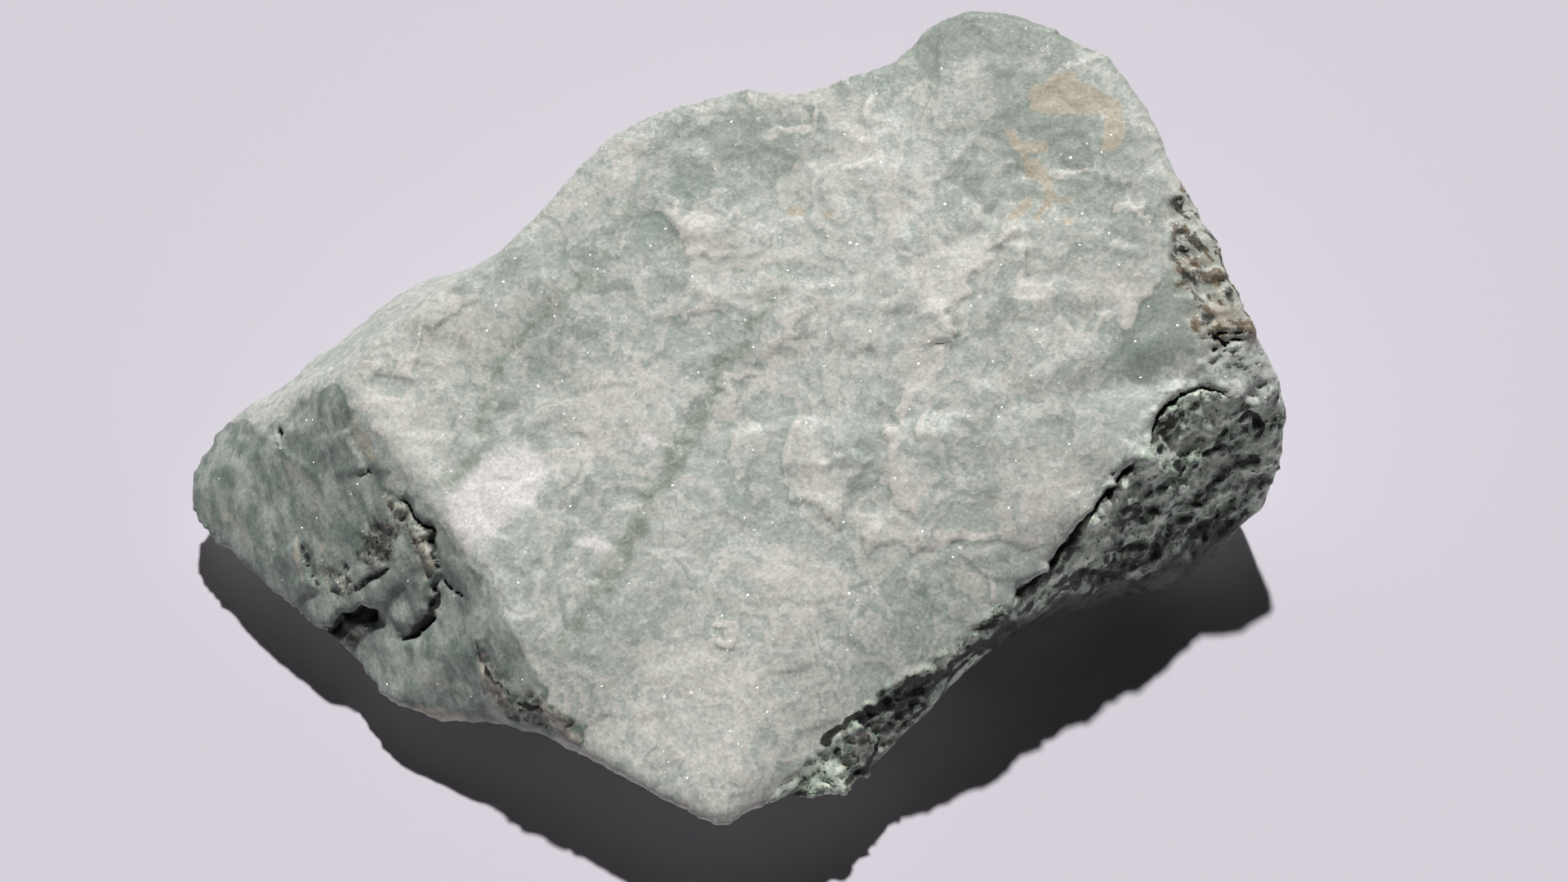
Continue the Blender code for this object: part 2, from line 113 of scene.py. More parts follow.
DARK_SIDE = (
    ((31, -7.5, 21.8), (36, -6.5, 6)), ((27, -12, 19), (31.5, -8.5, 7)), ((23, -15, 17.5), (27, -10.5, 8)),
    ((20, -17.5, 16.5), (22, -14, 8)), ((16.5, -19.5, 15.8), (18.5, -17, 8)),
    ((10, -23, 14.2), (14.5, -22.5, 8)), ((8, -24.5, 13.7), (10, -28, 8)), ((5, -27, 13.2), (6, -32.5, 9)),
    ((1.5, -29.5, 12.8), (0, -33.5, 10.5)),
)
LOW_CORNER = (
    ((-6, -36, 12.4), (-6, -37, 11.5)), ((-13, -32.5, 12.2), (-13, -33.5, 11)),
    ((-20, -28, 12), (-20.5, -28.5, 10.8)),
)
LEFT_END = (
    ((-23.5, -25.5, 14.3), (-24.5, -26, 10.4)), ((-25, -23, 15.8), (-29.5, -24, 9)),
    ((-27.5, -18, 17.8), (-36, -22, 6.6)), ((-29, -14, 19), (-40.5, -20, 6.2)),
    ((-33, -8, 20.5), (-46, -13, 5.5)), ((-35.5, -5, 21.3), (-48, -12, 7)),
    ((-41, 2.5, 22.8), (-55.5, -5, 7.6)), ((-43, 5, 23.3), (-61.5, 0.5, 6.6)),
    ((-44.5, 6.5, 23.5), (-64, 5, 7)),
)

# The skin: its grid in millimetres and the rounds of evening that it and its directions get
SKIN_GRID = 0.76
SMOOTHING_SHARE = 0.5
SKIN_SMOOTHING = 3
BROAD_SMOOTHING = 3
NORMAL_SMOOTHING = 4
RIM_SMOOTHING = 40
BROAD_RIM_SMOOTHING = 12
RIGHT_RIM = (46.0, 50.0)
RIGHT_RIM_EASE = 0.5
RIGHT_RIM_ROUNDS = 10

# How squarely a point faces the photograph's view where each thing starts and where it is whole
SEEN_SHAPE = (-0.9, -0.3)
SEEN_RELIEF = (0.0, 0.25)
SEEN_CRUMBS = (0.05, 0.4)
SEEN_FIBRES = (0.25, 0.65)
SEEN_COLOURS = (-0.05, 0.15)
SEEN_SIDES = (-0.55, -0.1)
SPLIT_FACING = 0.05

# Noise and scattered seeds: how many cells there are each way before they repeat, and their shift
NOISE_CELLS = 32
NOISE_SHIFT = 100.0
SEED_CELLS = 64
SEED_SHIFT = 200.0

# Broad shape: size, height and seed of each layer of lumps; size, height, tilt, step and seed of
# each layer of broken facets. The hidden faces have their own.
SEEN_LAYERS = ((16.0, 0.35, 11), (6.0, 0.08, 12))
SEEN_FACETS = ((14.0, 0.07, 0.01, 0.5, 31),)
HIDDEN_LAYERS = ((19.0, 1.4, 21), (8.0, 0.4, 22))
HIDDEN_FACETS = ((17.0, 0.45, 0.07, 1.5, 32), (7.0, 0.16, 0.045, 0.9, 33))
FACET_WARP = 0.45
FACET_WARP_SIZE = 0.6
FACET_WARP_SEED = 10
FACET_RAG = 0.3
FACET_RAG_SIZE = 1.6
FACET_RAG_SEED = 20

# Fine relief of the pale face: lumps and facets as above, and more of them on the hidden faces
FINE_LAYERS = ((2.8, 0.012, 51), (1.4, 0.008, 52), (0.8, 0.008, 53))
FINE_FACETS = ((7.0, 0.05, 0.008, 0.3, 61), (3.0, 0.02, 0.008, 0.25, 62), (1.3, 0.008, 0.006, 0.25, 63))
HIDDEN_FINE_GAIN = 0.6
FOOT_FADE = (0.0, 1.0)

# Thin broken sheets: the field that they follow, as size, share and seed of each of its layers,
# the levels at which one sheet ends and the next shows, and the height and run of each step
SHEET_FIELD = ((9.0, 1.0, 101), (4.5, 0.6, 102), (2.2, 0.35, 103))
SHEET_LEVELS = (-0.38, 0.0, 0.36)
SHEET_HEIGHT = 0.08
SHEET_RUN = 0.22

# Relief of the crumbly places, of the left end's fibres and of the dark side's grains, as above.
# Fibres have the way that they run in the picture and their stretch, in the shape and in the colour.
CRUMB_LAYERS = ((1.7, 0.2, 111), (1.0, 0.16, 112))
CRUMB_FACETS = ((1.5, 0.16, 0.16, 0.25, 113),)
LEFT_FIBRE = (0.42, -0.91)
LEFT_FIBRE_STRETCH = 3.0
LEFT_FIBRE_LAYERS = ((5.0, 0.35, 71), (2.4, 0.16, 72), (1.2, 0.07, 73))
LEFT_STRETCH = 2.6
DARK_FIBRE = (0.88, 0.47)
DARK_FIBRE_STRETCH = 1.9
DARK_FIBRE_LAYERS = ((3.2, 0.26, 81), (1.7, 0.2, 82))
DARK_STRETCH = 2.7
SUGAR_LAYERS = ((1.3, 0.16, 121), (0.8, 0.12, 122))
SUGAR_FACETS = ((2.4, 0.2, 0.14, 0.4, 131), (1.2, 0.12, 0.14, 0.25, 141))
STAIN_FIBRE = (0.7, -0.7)
STAIN_STRETCH = 2.2
BELLY_SUGAR_LOSS = 0.5
BELLY_FIBRE_LOSS = 0.6

# Lines and edges in the picture: how far they wander, in pixels, as size, reach and seed; where a
# line starts to fade at its ends; and noise along them and over the skin, as size and seed
LINE_RAG = ((40.0, 7.0, 91), (18.0, 9.0, 93), (8.0, 4.5, 95))
MILD_RAG = 0.55
LINE_END = 0.12
LEDGE_RUN = 5.0
LEDGE_PATCHES = (4.0, 98)
LEDGE_PATCH_SPAN = (-0.3, 0.3)
LEDGE_PATCH_LEAST = 0.35
CRACK_SWELL = (24.0, 99)
CRACK_SWELL_MIDDLE = 0.75
CRACK_SWELL_REACH = 0.6
LIP_WIDTH = 22.0
LIP_SPREAD = (30.0, 97)
LIP_SPREAD_REACH = 0.9
AREA_EDGE = 5.0
LEFT_EDGE = 10.0
WRAPPED_MASKS = ("left_end", "dark_side", "crease_shade", "belly")
WRAP = (5.0, 94)
WRAP_REACH = 0.3

# The sides' outlines in pixels of the photograph, as are all outlines and lines below: across and
# down by turns, from point to point
LEFT_RIDGE = (
    414, 474, 432, 500, 448, 530, 462, 570, 482, 600, 520, 622, 548, 644, 568, 675, 592, 708, 614, 758,
    640, 802, 660, 836, 676, 874, 690, 905,
)
LEFT_END_AREA = LEFT_RIDGE + (
    690, 960, 480, 930, 150, 700, 150, 540, 262, 515, 292, 520, 332, 541, 345, 510, 391, 478,
)
DARK_AREA = (
    1560, 470, 1515, 488, 1499, 480, 1474, 469, 1454, 479, 1437, 493, 1426, 508, 1415, 529, 1402, 547,
    1378, 575, 1350, 600, 1322, 648, 1290, 692, 1230, 738, 1160, 795, 1116, 820, 1082, 845, 1050, 870,
    1022, 893, 980, 930, 940, 985, 1040, 1060, 1250, 880, 1500, 760, 1650, 600, 1620, 500,
)
BELLY_AREA = (
    1225, 770, 1290, 722, 1390, 700, 1440, 690, 1490, 655, 1540, 640, 1500, 700, 1440, 740, 1300, 780,
    1200, 820,
)

# Ledges in pixels of the photograph: the lip, whose high side is on its left going along the line,
# the height in millimetres and how far the high side reaches
LEDGES = (
    ((985, 512, 966, 522, 956, 533, 949, 548, 952, 566, 958, 584, 974, 604, 996, 618, 1014, 638, 1045, 645),
      0.42, 160),
    ((1130, 455, 1110, 480, 1104, 500, 1086, 515, 1077, 529, 1086, 555, 1081, 569, 1090, 591, 1100, 618,
      1125, 642), 0.4, 200),
    ((1048, 628, 1056, 645, 1068, 678, 1088, 668, 1118, 664, 1150, 672, 1190, 664, 1224, 664, 1251, 672,
      1273, 664, 1300, 666, 1332, 660), 0.26, 160),
    ((1160, 440, 1175, 417, 1157, 404, 1160, 385, 1184, 362, 1202, 339, 1215, 321, 1242, 286, 1250, 270),
      0.48, 180),
    ((1288, 350, 1268, 356, 1256, 330, 1258, 300), 0.25, 90),
    ((838, 238, 827, 250, 822, 270, 824, 290, 845, 308, 865, 316, 889, 330), 0.3, 130),
    ((430, 455, 499, 460, 512, 415, 545, 385, 600, 352), 0.3, 160),
    ((1386, 420, 1388, 395, 1390, 372, 1405, 352, 1424, 326), 0.45, 160),
    ((1130, 497, 1118, 520, 1124, 545), 0.2, 90),
    ((1070, 110, 1050, 130, 1063, 165, 1060, 202, 1035, 215), 0.22, 90),
    ((1170, 680, 1206, 706, 1216, 745), 0.2, 90),
    ((846, 398, 844, 384, 856, 376, 874, 374, 888, 386), 0.2, 60),
    ((1150, 430, 1140, 450, 1120, 466, 1092, 460), 0.22, 90),
    ((880, 500, 905, 468, 950, 436, 978, 410, 985, 370), 0.2, 120),
    ((1420, 268, 1400, 262, 1370, 240), 0.25, 90),
    ((1350, 380, 1330, 410, 1300, 400), 0.18, 70),
    ((690, 520, 720, 540, 700, 556, 660, 560), 0.15, 70),
    ((860, 770, 900, 790, 905, 775, 880, 764), 0.2, 50),
    ((1000, 130, 985, 150, 960, 160, 930, 150), 0.2, 70),
    ((1340, 205, 1310, 215, 1280, 200), 0.18, 70),
)
SIDE_LEDGES = (
    ((490, 786, 508, 772, 522, 762, 532, 745, 536, 717, 538, 696, 531, 673, 524, 649, 509, 632), 0.8, 45),
    ((394, 782, 400, 768, 412, 761, 418, 749, 436, 751, 446, 742, 457, 754), 0.9, 40),
    ((396, 724, 386, 702, 376, 680, 366, 662), 0.7, 30),
    ((440, 730, 452, 712, 462, 700, 476, 688), 0.5, 40),
    ((450, 580, 444, 560, 436, 540, 430, 520), 0.5, 30),
    ((404, 600, 386, 577, 365, 560, 342, 548, 331, 531), 0.25, 30),
    ((470, 655, 488, 640, 500, 622), 0.3, 40),
    ((1310, 700, 1360, 668, 1420, 640, 1480, 610, 1520, 600), 0.7, 40),
    ((1410, 590, 1440, 575, 1470, 560, 1510, 556), 0.7, 30),
    ((1350, 640, 1390, 615, 1430, 600, 1470, 586), 0.6, 30),
    ((1430, 548, 1460, 528, 1490, 520, 1530, 512), 0.6, 24),
    ((1380, 660, 1420, 645, 1450, 640, 1490, 625), 0.5, 24),
    ((1200, 800, 1280, 742, 1350, 715, 1440, 690), 0.6, 50),
)

# Cracks in pixels of the photograph: the line, the half width and the depth in millimetres
CRACKS = (
    ((486, 604, 509, 632, 526, 650, 531, 674, 537, 698, 535, 728, 524, 758, 508, 774, 488, 788), 2.6, 1.0),
    ((530, 748, 521, 762, 506, 774, 492, 784), 5.0, 0.9),
    ((537, 700, 554, 724, 575, 738), 2.0, 0.6),
    ((366, 664, 374, 680, 384, 700, 394, 724), 4.0, 0.9),
    ((386, 786, 394, 770, 408, 764, 416, 750, 436, 752, 446, 742, 457, 752, 452, 772), 5.0, 1.3),
    ((345, 522, 342, 535, 332, 549), 3.5, 0.7),
    ((474, 690, 462, 700, 452, 712, 440, 728), 2.5, 0.6),
    ((419, 696, 428, 694, 436, 699), 2.0, 0.4),
    ((446, 582, 454, 574), 2.5, 0.5),
    ((1515, 490, 1499, 482, 1474, 471, 1454, 481, 1437, 495, 1426, 510, 1415, 531, 1404, 556), 4.0, 1.3),
    ((1404, 556, 1378, 582, 1357, 600, 1332, 640, 1307, 674, 1285, 702, 1235, 738), 7.0, 1.6),
    ((1476, 404, 1488, 411, 1500, 408, 1514, 412, 1530, 408), 2.0, 0.7),
    ((1478, 420, 1490, 417, 1502, 424, 1516, 419, 1530, 423), 2.6, 0.8),
    ((1478, 430, 1492, 427, 1506, 431), 1.6, 0.5),
    ((1464, 556, 1476, 549, 1490, 545, 1502, 541), 6.0, 1.0),
    ((1507, 520, 1525, 508, 1541, 509, 1545, 532, 1534, 550), 4.0, 0.8),
)

# Colour areas in pixels of the photograph: the outline, how soft its edge is and perhaps a strength
WHITE_AREAS = (
    ((552, 604, 580, 568, 612, 550, 650, 548, 672, 566, 664, 592, 640, 628, 612, 652, 575, 672, 556, 645),
      14),
    ((700, 662, 722, 656, 746, 668, 728, 678, 704, 674), 8),
    ((782, 534, 796, 526, 808, 536, 798, 548), 7),
)
CREAM_AREAS = (
    ((505, 430, 560, 372, 640, 342, 690, 345, 640, 400, 600, 440, 560, 470, 510, 465), 60),
    ((430, 470, 500, 470, 560, 500, 540, 560, 480, 560, 450, 510), 45),
    ((1100, 330, 1150, 300, 1236, 282, 1236, 300, 1210, 330, 1190, 356, 1160, 385, 1168, 415, 1140, 400,
      1110, 370), 27),
    ((1300, 345, 1380, 320, 1426, 320, 1400, 352, 1386, 392, 1340, 372), 24),
    ((1084, 508, 1072, 530, 1084, 556, 1076, 570, 1090, 600, 1100, 632, 1124, 640, 1120, 600, 1108, 560,
      1106, 520), 18),
    ((900, 470, 950, 430, 990, 400, 1000, 340, 1020, 360, 1010, 420, 960, 450, 905, 500, 880, 530, 868, 520),
      27),
    ((1048, 635, 1068, 684, 1092, 668, 1140, 662, 1130, 640, 1080, 630), 18),
    ((1210, 450, 1260, 448, 1270, 470, 1230, 480), 15),
    ((1090, 440, 1140, 405, 1172, 425, 1146, 470, 1115, 475), 24),
    ((1000, 130, 1050, 105, 1080, 150, 1070, 205, 1030, 225, 1044, 170), 36),
    ((820, 262, 850, 236, 885, 258, 890, 300, 860, 316, 828, 296), 30),
    ((844, 378, 868, 370, 890, 386, 872, 400, 846, 398), 12),
    ((954, 545, 985, 514, 1010, 560, 1030, 634, 1000, 622, 965, 590), 24),
    ((740, 790, 860, 750, 960, 800, 950, 930, 880, 980, 790, 940), 120),
    ((700, 480, 780, 440, 850, 450, 810, 520, 730, 530), 75),
    ((1060, 230, 1140, 220, 1150, 280, 1080, 300, 1040, 270), 60),
    ((1160, 690, 1200, 700, 1216, 730, 1190, 735), 18),
    ((900, 690, 980, 660, 1060, 700, 1040, 760, 950, 760), 90),
    ((1220, 560, 1290, 540, 1330, 590, 1290, 650, 1230, 640), 75),
    ((640, 270, 720, 210, 780, 170, 790, 200, 720, 270, 660, 320), 60),
)
CREAM_GAIN = 0.9
GREEN_AREAS = (
    ((800, 130, 905, 112, 985, 118, 1030, 130, 1020, 180, 960, 230, 890, 262, 846, 240, 815, 262, 780, 300,
      755, 310, 770, 250, 790, 200), 40, 0.68),
    ((856, 150, 900, 128, 950, 150, 985, 190, 960, 212, 900, 205, 866, 190), 14, 1.0),
    ((822, 200, 860, 196, 878, 216, 862, 248, 832, 244, 818, 226), 10, 1.2),
    ((780, 258, 806, 250, 822, 275, 824, 308, 800, 322, 782, 300), 9, 1.2),
    ((770, 270, 820, 250, 830, 300, 866, 335, 810, 350, 764, 325), 24, 0.7),
    ((590, 468, 620, 420, 690, 380, 770, 350, 740, 410, 700, 460, 660, 520, 610, 545, 585, 515), 40, 0.6),
    ((1362, 448, 1378, 385, 1404, 345, 1440, 325, 1456, 380, 1474, 425, 1440, 448, 1404, 474), 26, 1.0),
    ((1110, 78, 1135, 40, 1170, 4, 1250, 4, 1290, 40, 1330, 60, 1260, 62, 1200, 60, 1150, 94), 34, 1.5),
    ((990, 108, 1070, 84, 1110, 60, 1140, 76, 1090, 124, 1030, 134), 26, 0.9),
    # Below ledge C's lip: painted shade in deep green
    ((1090, 700, 1180, 672, 1270, 700, 1240, 765, 1140, 790, 1080, 760), 46, 0.6),
    ((1024, 545, 1072, 515, 1082, 612, 1040, 625), 26, 0.7),
    ((1150, 100, 1240, 80, 1380, 90, 1410, 190, 1430, 260, 1400, 320, 1300, 320, 1220, 285, 1160, 250,
      1120, 180), 60, 0.62),
    ((1170, 425, 1195, 370, 1240, 350, 1256, 390, 1225, 445), 30, 0.6),
    ((870, 580, 945, 560, 985, 620, 940, 670, 850, 650), 46, 0.6),
    ((1120, 500, 1300, 480, 1380, 520, 1340, 620, 1180, 640, 1120, 580), 70, 0.5),
    ((690, 580, 760, 560, 780, 640, 720, 720, 660, 740, 640, 690), 40, 0.5),
    ((590, 760, 650, 740, 720, 770, 680, 830, 640, 830), 40, 0.45),
    ((420, 480, 560, 360, 700, 250, 820, 180, 800, 330, 700, 520, 560, 640), 60, 0.55),
    ((1200, 60, 1300, 60, 1370, 110, 1400, 200, 1380, 260, 1260, 250, 1190, 160), 50, 0.8),
)
# Painted shade: the crease under the dark side's upper edge and the band along its lower edge, which darken
# the dark side's colours
CREASE_SHADE_AREAS = (
    ((1228, 748, 1300, 702, 1380, 668, 1470, 640, 1560, 584, 1575, 640, 1500, 668, 1400, 692, 1290, 738), 14),
    ((1000, 930, 1060, 880, 1130, 836, 1230, 760, 1240, 775, 1160, 840, 1120, 880, 1060, 940), 8),
)
CRUST_AREAS = (
    ((1258, 124, 1268, 110, 1284, 106, 1292, 92, 1310, 90, 1320, 98, 1344, 104, 1362, 116, 1376, 138,
      1375, 170, 1364, 188, 1350, 184, 1344, 172, 1358, 160, 1357, 144, 1338, 134, 1312, 138, 1286, 143,
      1262, 136), 7),
    ((1294, 266, 1310, 268, 1320, 276, 1302, 281), 5),
    ((964, 257, 985, 254, 988, 265, 968, 268), 5),
    ((1004, 262, 1020, 256, 1024, 264, 1008, 270), 4),
)
STAIN_AREAS = (
    ((1430, 250, 1446, 222, 1500, 300, 1535, 385, 1545, 424, 1500, 420, 1478, 428, 1462, 400, 1440, 340), 10),
)
CRUMB_AREAS = (
    ((464, 600, 486, 606, 508, 632, 526, 654, 534, 700, 522, 716, 514, 690, 496, 656, 476, 640), 6),
    ((446, 650, 470, 644, 486, 660, 480, 684, 460, 690, 446, 676), 6),
    ((404, 790, 416, 774, 440, 764, 452, 772, 440, 790, 420, 804), 4),
    ((578, 786, 592, 778, 602, 800, 620, 846, 648, 846, 672, 862, 716, 888, 714, 914, 660, 892, 620, 884,
      596, 850), 4),
    ((396, 690, 430, 694, 444, 720, 420, 736, 400, 722), 5),
    ((1030, 900, 1100, 880, 1110, 905, 1070, 945, 1030, 965), 4),
)
ROUGH_AREAS = (
    ((1446, 476, 1462, 446, 1500, 424, 1545, 426, 1572, 470, 1572, 506, 1520, 488, 1480, 472), 8),
    ((1400, 556, 1416, 520, 1440, 486, 1460, 470, 1440, 462, 1410, 500, 1385, 540, 1350, 590, 1330, 636,
      1350, 620), 8),
)
# Near-black areas: painted shade in the cavity and at the crack's wide foot under the left end's rim, a dark
# speckled spot on the left end and small dark pits in the stain
SPECK_AND_CREVICE_SHADE_AREAS = (
    ((392, 780, 410, 758, 434, 747, 453, 749, 453, 767, 437, 767, 428, 773, 413, 782, 404, 792), 3),
    ((494, 782, 512, 766, 526, 752, 524, 766, 508, 780), 3),
    ((448, 654, 466, 650, 482, 662, 476, 680, 458, 684, 448, 672), 50),
    ((390, 784, 404, 776, 420, 790, 430, 800, 412, 806, 398, 796), 8),
    ((1500, 350, 1512, 356, 1508, 372, 1498, 366), 8),
    ((1450, 330, 1462, 336, 1466, 352, 1454, 348), 8),
    ((1474, 380, 1490, 384, 1486, 396, 1472, 392), 8),
)

# Colour lines in pixels of the photograph: the line, its half width and strength
CRUST_LINES = (
    ((1222, 154, 1240, 164, 1254, 180, 1264, 196, 1273, 214, 1286, 232, 1296, 252), 8, 1.0),
    ((1250, 180, 1266, 180, 1290, 180), 6, 1.0),
    ((1290, 240, 1284, 256, 1266, 276), 6, 1.0),
    ((1286, 242, 1300, 252, 1318, 252), 5, 1.0),
    ((1232, 276, 1246, 260, 1264, 240), 7, 1.0),
)
# Dark lines: mostly painted shade in the creases under the dark side's edges, and a few dark specks on the
# left end
DARK_LINES = (
    ((1300, 712, 1360, 690, 1420, 672, 1480, 655, 1530, 630), 12, 0.6),
    ((1500, 600, 1530, 592, 1560, 585), 13, 0.6),
    ((1350, 640, 1400, 625, 1450, 612, 1490, 590), 5, 0.7),
    ((1080, 850, 1140, 830, 1200, 790, 1260, 750), 8, 0.9),
    ((990, 925, 1040, 890, 1090, 860, 1150, 835), 8, 1.0),
    ((1020, 960, 1060, 935, 1090, 905), 6, 0.9),
    ((633, 850, 645, 858, 656, 870), 4, 0.9),
    ((596, 812, 604, 832, 618, 856), 3, 0.9),
    ((440, 640, 470, 650, 480, 672), 9, 0.35),
)
# Pale lines: pale splinters and streaks, partly painted light on the sunlit edges beside the left end's crack
# and on the dark side
PALE_LINES = (
    ((1414, 561, 1440, 541, 1471, 521), 6, 0.8),
    ((1461, 564, 1485, 570, 1507, 566), 5, 0.8),
    ((1450, 500, 1480, 492, 1510, 500), 6, 0.5),
    ((1400, 655, 1412, 640, 1424, 632), 5, 0.7),
    ((360, 656, 366, 684, 382, 718), 4, 0.9),
    ((398, 664, 402, 680), 5, 0.7),
    ((514, 646, 524, 672, 530, 700), 7, 0.8),
    ((444, 528, 452, 550, 458, 570), 6, 0.8),
    ((585, 795, 592, 820, 602, 850, 618, 872), 7, 1.0),
    ((640, 862, 665, 872, 700, 900, 716, 905), 8, 0.9),
    ((500, 868, 525, 878, 545, 882, 575, 884), 12, 1.0),
    ((430, 508, 440, 530, 452, 556), 8, 0.7),
    ((340, 560, 372, 590, 398, 630), 7, 0.5),
    ((270, 620, 300, 660, 330, 690), 9, 0.5),
    ((500, 820, 540, 836, 570, 850), 8, 0.5),
    ((1043, 925, 1075, 918, 1105, 905), 10, 0.7),
    ((505, 640, 514, 668, 520, 700, 522, 730), 9, 0.45),
    ((470, 612, 480, 632, 492, 650), 6, 0.6),
    ((425, 665, 420, 690), 6, 0.4),
)
GREEN_LINES = (
    ((985, 300, 960, 340, 930, 390, 900, 435, 875, 470, 860, 510, 838, 529, 822, 545, 819, 589, 787, 608,
      777, 640, 771, 669, 750, 695, 730, 720, 707, 761, 685, 793, 656, 832), 9, 1.0),
    ((740, 330, 682, 366, 646, 402, 615, 442, 593, 470, 596, 510, 590, 545, 561, 586, 529, 608), 9, 1.0),
    ((800, 200, 770, 250, 740, 330), 8, 0.5),
)
VEIN_SPREAD = 3
VEIN_SPREAD_SHARE = 0.5

# Colours of the stone
BASE_COOL = (0.52, 0.57, 0.525, 1.0)
BASE_WARM = (0.60, 0.61, 0.545, 1.0)
CREAM = (0.82, 0.78, 0.71, 1.0)
CURD = (0.80, 0.82, 0.76, 1.0)
GREEN = (0.44, 0.51, 0.455, 1.0)
DEEP_GREEN = (0.30, 0.36, 0.305, 1.0)
VEIN = (0.25, 0.29, 0.21, 1.0)
WHITE = (0.93, 0.89, 0.85, 1.0)
LIP_SHADE = (0.30, 0.35, 0.29, 1.0)
CRUST = (0.63, 0.56, 0.43, 1.0)
CRUST_DEEP = (0.52, 0.465, 0.36, 1.0)
STAIN = (0.19, 0.13, 0.075, 1.0)
STAIN_GROUND = (0.56, 0.585, 0.49, 1.0)
RUST = (0.44, 0.35, 0.24, 1.0)
# Near black: painted shade in cracks, creases and the cavity, and dark specks
SPECKS_AND_CREVICE_SHADE = (0.012, 0.011, 0.009, 1.0)
SPLINTER = (0.66, 0.62, 0.51, 1.0)
LEFT_DEEP = (0.22, 0.27, 0.235, 1.0)
LEFT_DARK = (0.15, 0.19, 0.165, 1.0)
LEFT_PALE = (0.50, 0.55, 0.49, 1.0)
LEFT_STREAK = (0.62, 0.62, 0.55, 1.0)
# Dark side colours: near black for painted shade in the gaps between its grains and for the stain's blots,
# grey-green grains, and pale crumbs partly of pale stone and partly painted sunlight
SIDE_BLACK = (0.025, 0.025, 0.02, 1.0)
SIDE_GREY = (0.56, 0.67, 0.54, 1.0)
SIDE_PALE = (0.88, 0.92, 0.80, 1.0)
# Painted shade on the belly under the dark side, nearly black
BELLY_SHADE = (0.045, 0.055, 0.04, 1.0)

# Noise in the colours: the size of its lumps in millimetres, its detail, roughness and shift, and
# perhaps the fibres that it follows and its stretch along them
NOISES = {
    "flecks": (0.9, 4.0, 0.7, 3.0),
    "wide": (14.0, 3.0, 0.5, 5.0),
    "fine": (0.35, 2.0, 0.6, 7.0),
    "soft": (1.8, 4.0, 0.6, 21.0),
    "curds": (0.95, 1.0, 0.4, 27.0),
    "scallops": (2.2, 4.0, 0.52, 31.0),
    "patches": (3.0, 3.0, 0.6, 23.0),
    "feathers": (0.8, 2.0, 0.5, 37.0),
    "sugar": (0.6, 3.0, 0.7, 29.0),
    "spread": (3.4, 4.0, 0.6, 15.0),
    "left streaks": (2.0, 6.0, 0.62, 9.0, LEFT_FIBRE, LEFT_STRETCH),
    "dark streaks": (1.9, 4.0, 0.6, 11.0, DARK_FIBRE, DARK_STRETCH),
    "blots": (0.95, 5.0, 0.68, 13.0, STAIN_FIBRE, STAIN_STRETCH),
}

# Grains: their sizes in millimetres, and how far a glinting one tilts
GRAIN_SIZE = 0.34
CLUMP_SIZE = 1.0
GLINT_SIZE = 0.17
GLINT_TILT = 1.5

# Colours that follow noise: the noise, the span over which the colour comes in, the colour, its share
BASE_TINTS = (("wide", (0.35, 0.65), BASE_WARM, 1.0), ("soft", (0.52, 0.32), GREEN, 0.5))
CURD_TINTS = (("curds", (0.57, 0.61), CURD, 0.42), ("curds", (0.43, 0.39), GREEN, 0.34))
CRUST_TINTS = (("flecks", (0.4, 0.6), CRUST, 1.0),)
LEFT_TINTS = (
    ("left streaks", (0.38, 0.62), LEFT_PALE, 1.0), ("left streaks", (0.58, 0.68), LEFT_STREAK, 0.6),
    ("wide", (0.42, 0.3), LEFT_DARK, 0.45), ("flecks", (0.42, 0.34), LEFT_DARK, 0.3),
)
# On the dark side, near black is painted shade in the gaps between the grey-green clumps
DARK_TINTS = (("clumps", (0.36, 0.5), SIDE_GREY, 1.0), ("sugar", (0.41, 0.35), SIDE_BLACK, 1.0))
RUBBLE_TINTS = (("sugar", (0.38, 0.58), CURD, 1.0),)
CRUMB_TINTS = (("sugar", (0.42, 0.68), SPLINTER, 1.0), ("flecks", (0.42, 0.37), SPECKS_AND_CREVICE_SHADE, 1.0))
STAIN_TINTS = (("spread", (0.42, 0.52), STAIN, 1.0),)

# Colours that follow a mask: the mask, the noise that breaks its edge, how soft the edge is and how
# far the noise moves it, the colour's share, and perhaps a gain for the mask
GREEN_WASH = ("green", "flecks", 0.9, 1.4, 0.45)
GREEN_PATCHES = ("green", "scallops", 0.1, 2.2, 0.55, 0.86)
CREAM_COAT = ("cream", "scallops", 0.12, 1.4, 0.5)
WHITE_COAT = ("white", "flecks", 0.7, 1.4, 0.95)
CRUST_COAT = ("crust", "flecks", 0.08, 1.3, 0.95)
LEFT_COAT = ("left_end", "scallops", 0.3, 1.1, 1.0)
DARK_COAT = ("dark_side", "flecks", 0.3, 0.8, 1.0)
RUBBLE_COAT = ("rough", "flecks", 0.5, 1.4, 0.85)
CRUMB_COAT = ("crumb", "flecks", 0.6, 1.4, 1.0)
PALE_COAT = ("pale", "flecks", 0.6, 1.2, 0.8)
SPECKS_AND_CREVICE_SHADE_COAT = ("specks_and_crevice_shade", "flecks", 0.4, 1.0, 0.95)

# Colours of the sheets, lips, veins, dark side and stain: the reach or span of each and its share
SHEET_FEATHER = 0.4
SHEET_EDGE = 0.03
SHEET_LIP = 0.42
SHEET_LIP_SHARE = 0.62
SHEET_FOOT = 0.22
SHEET_FOOT_SHARE = 0.38
LIP_SIDE = 0.06
LIP_EDGE = (0.3, 1.4)
LIP_PATCHES = (0.34, 0.5)
LIP_SHARE = 0.8
LIP_SHADE_SPAN = (0.5, 0.95)
LIP_SHADE_PATCHES = (0.6, 0.42)
LIP_SHADE_SHARE = 0.55
VEIN_SPAN = (0.36, 0.6, 0.1, 0.75)
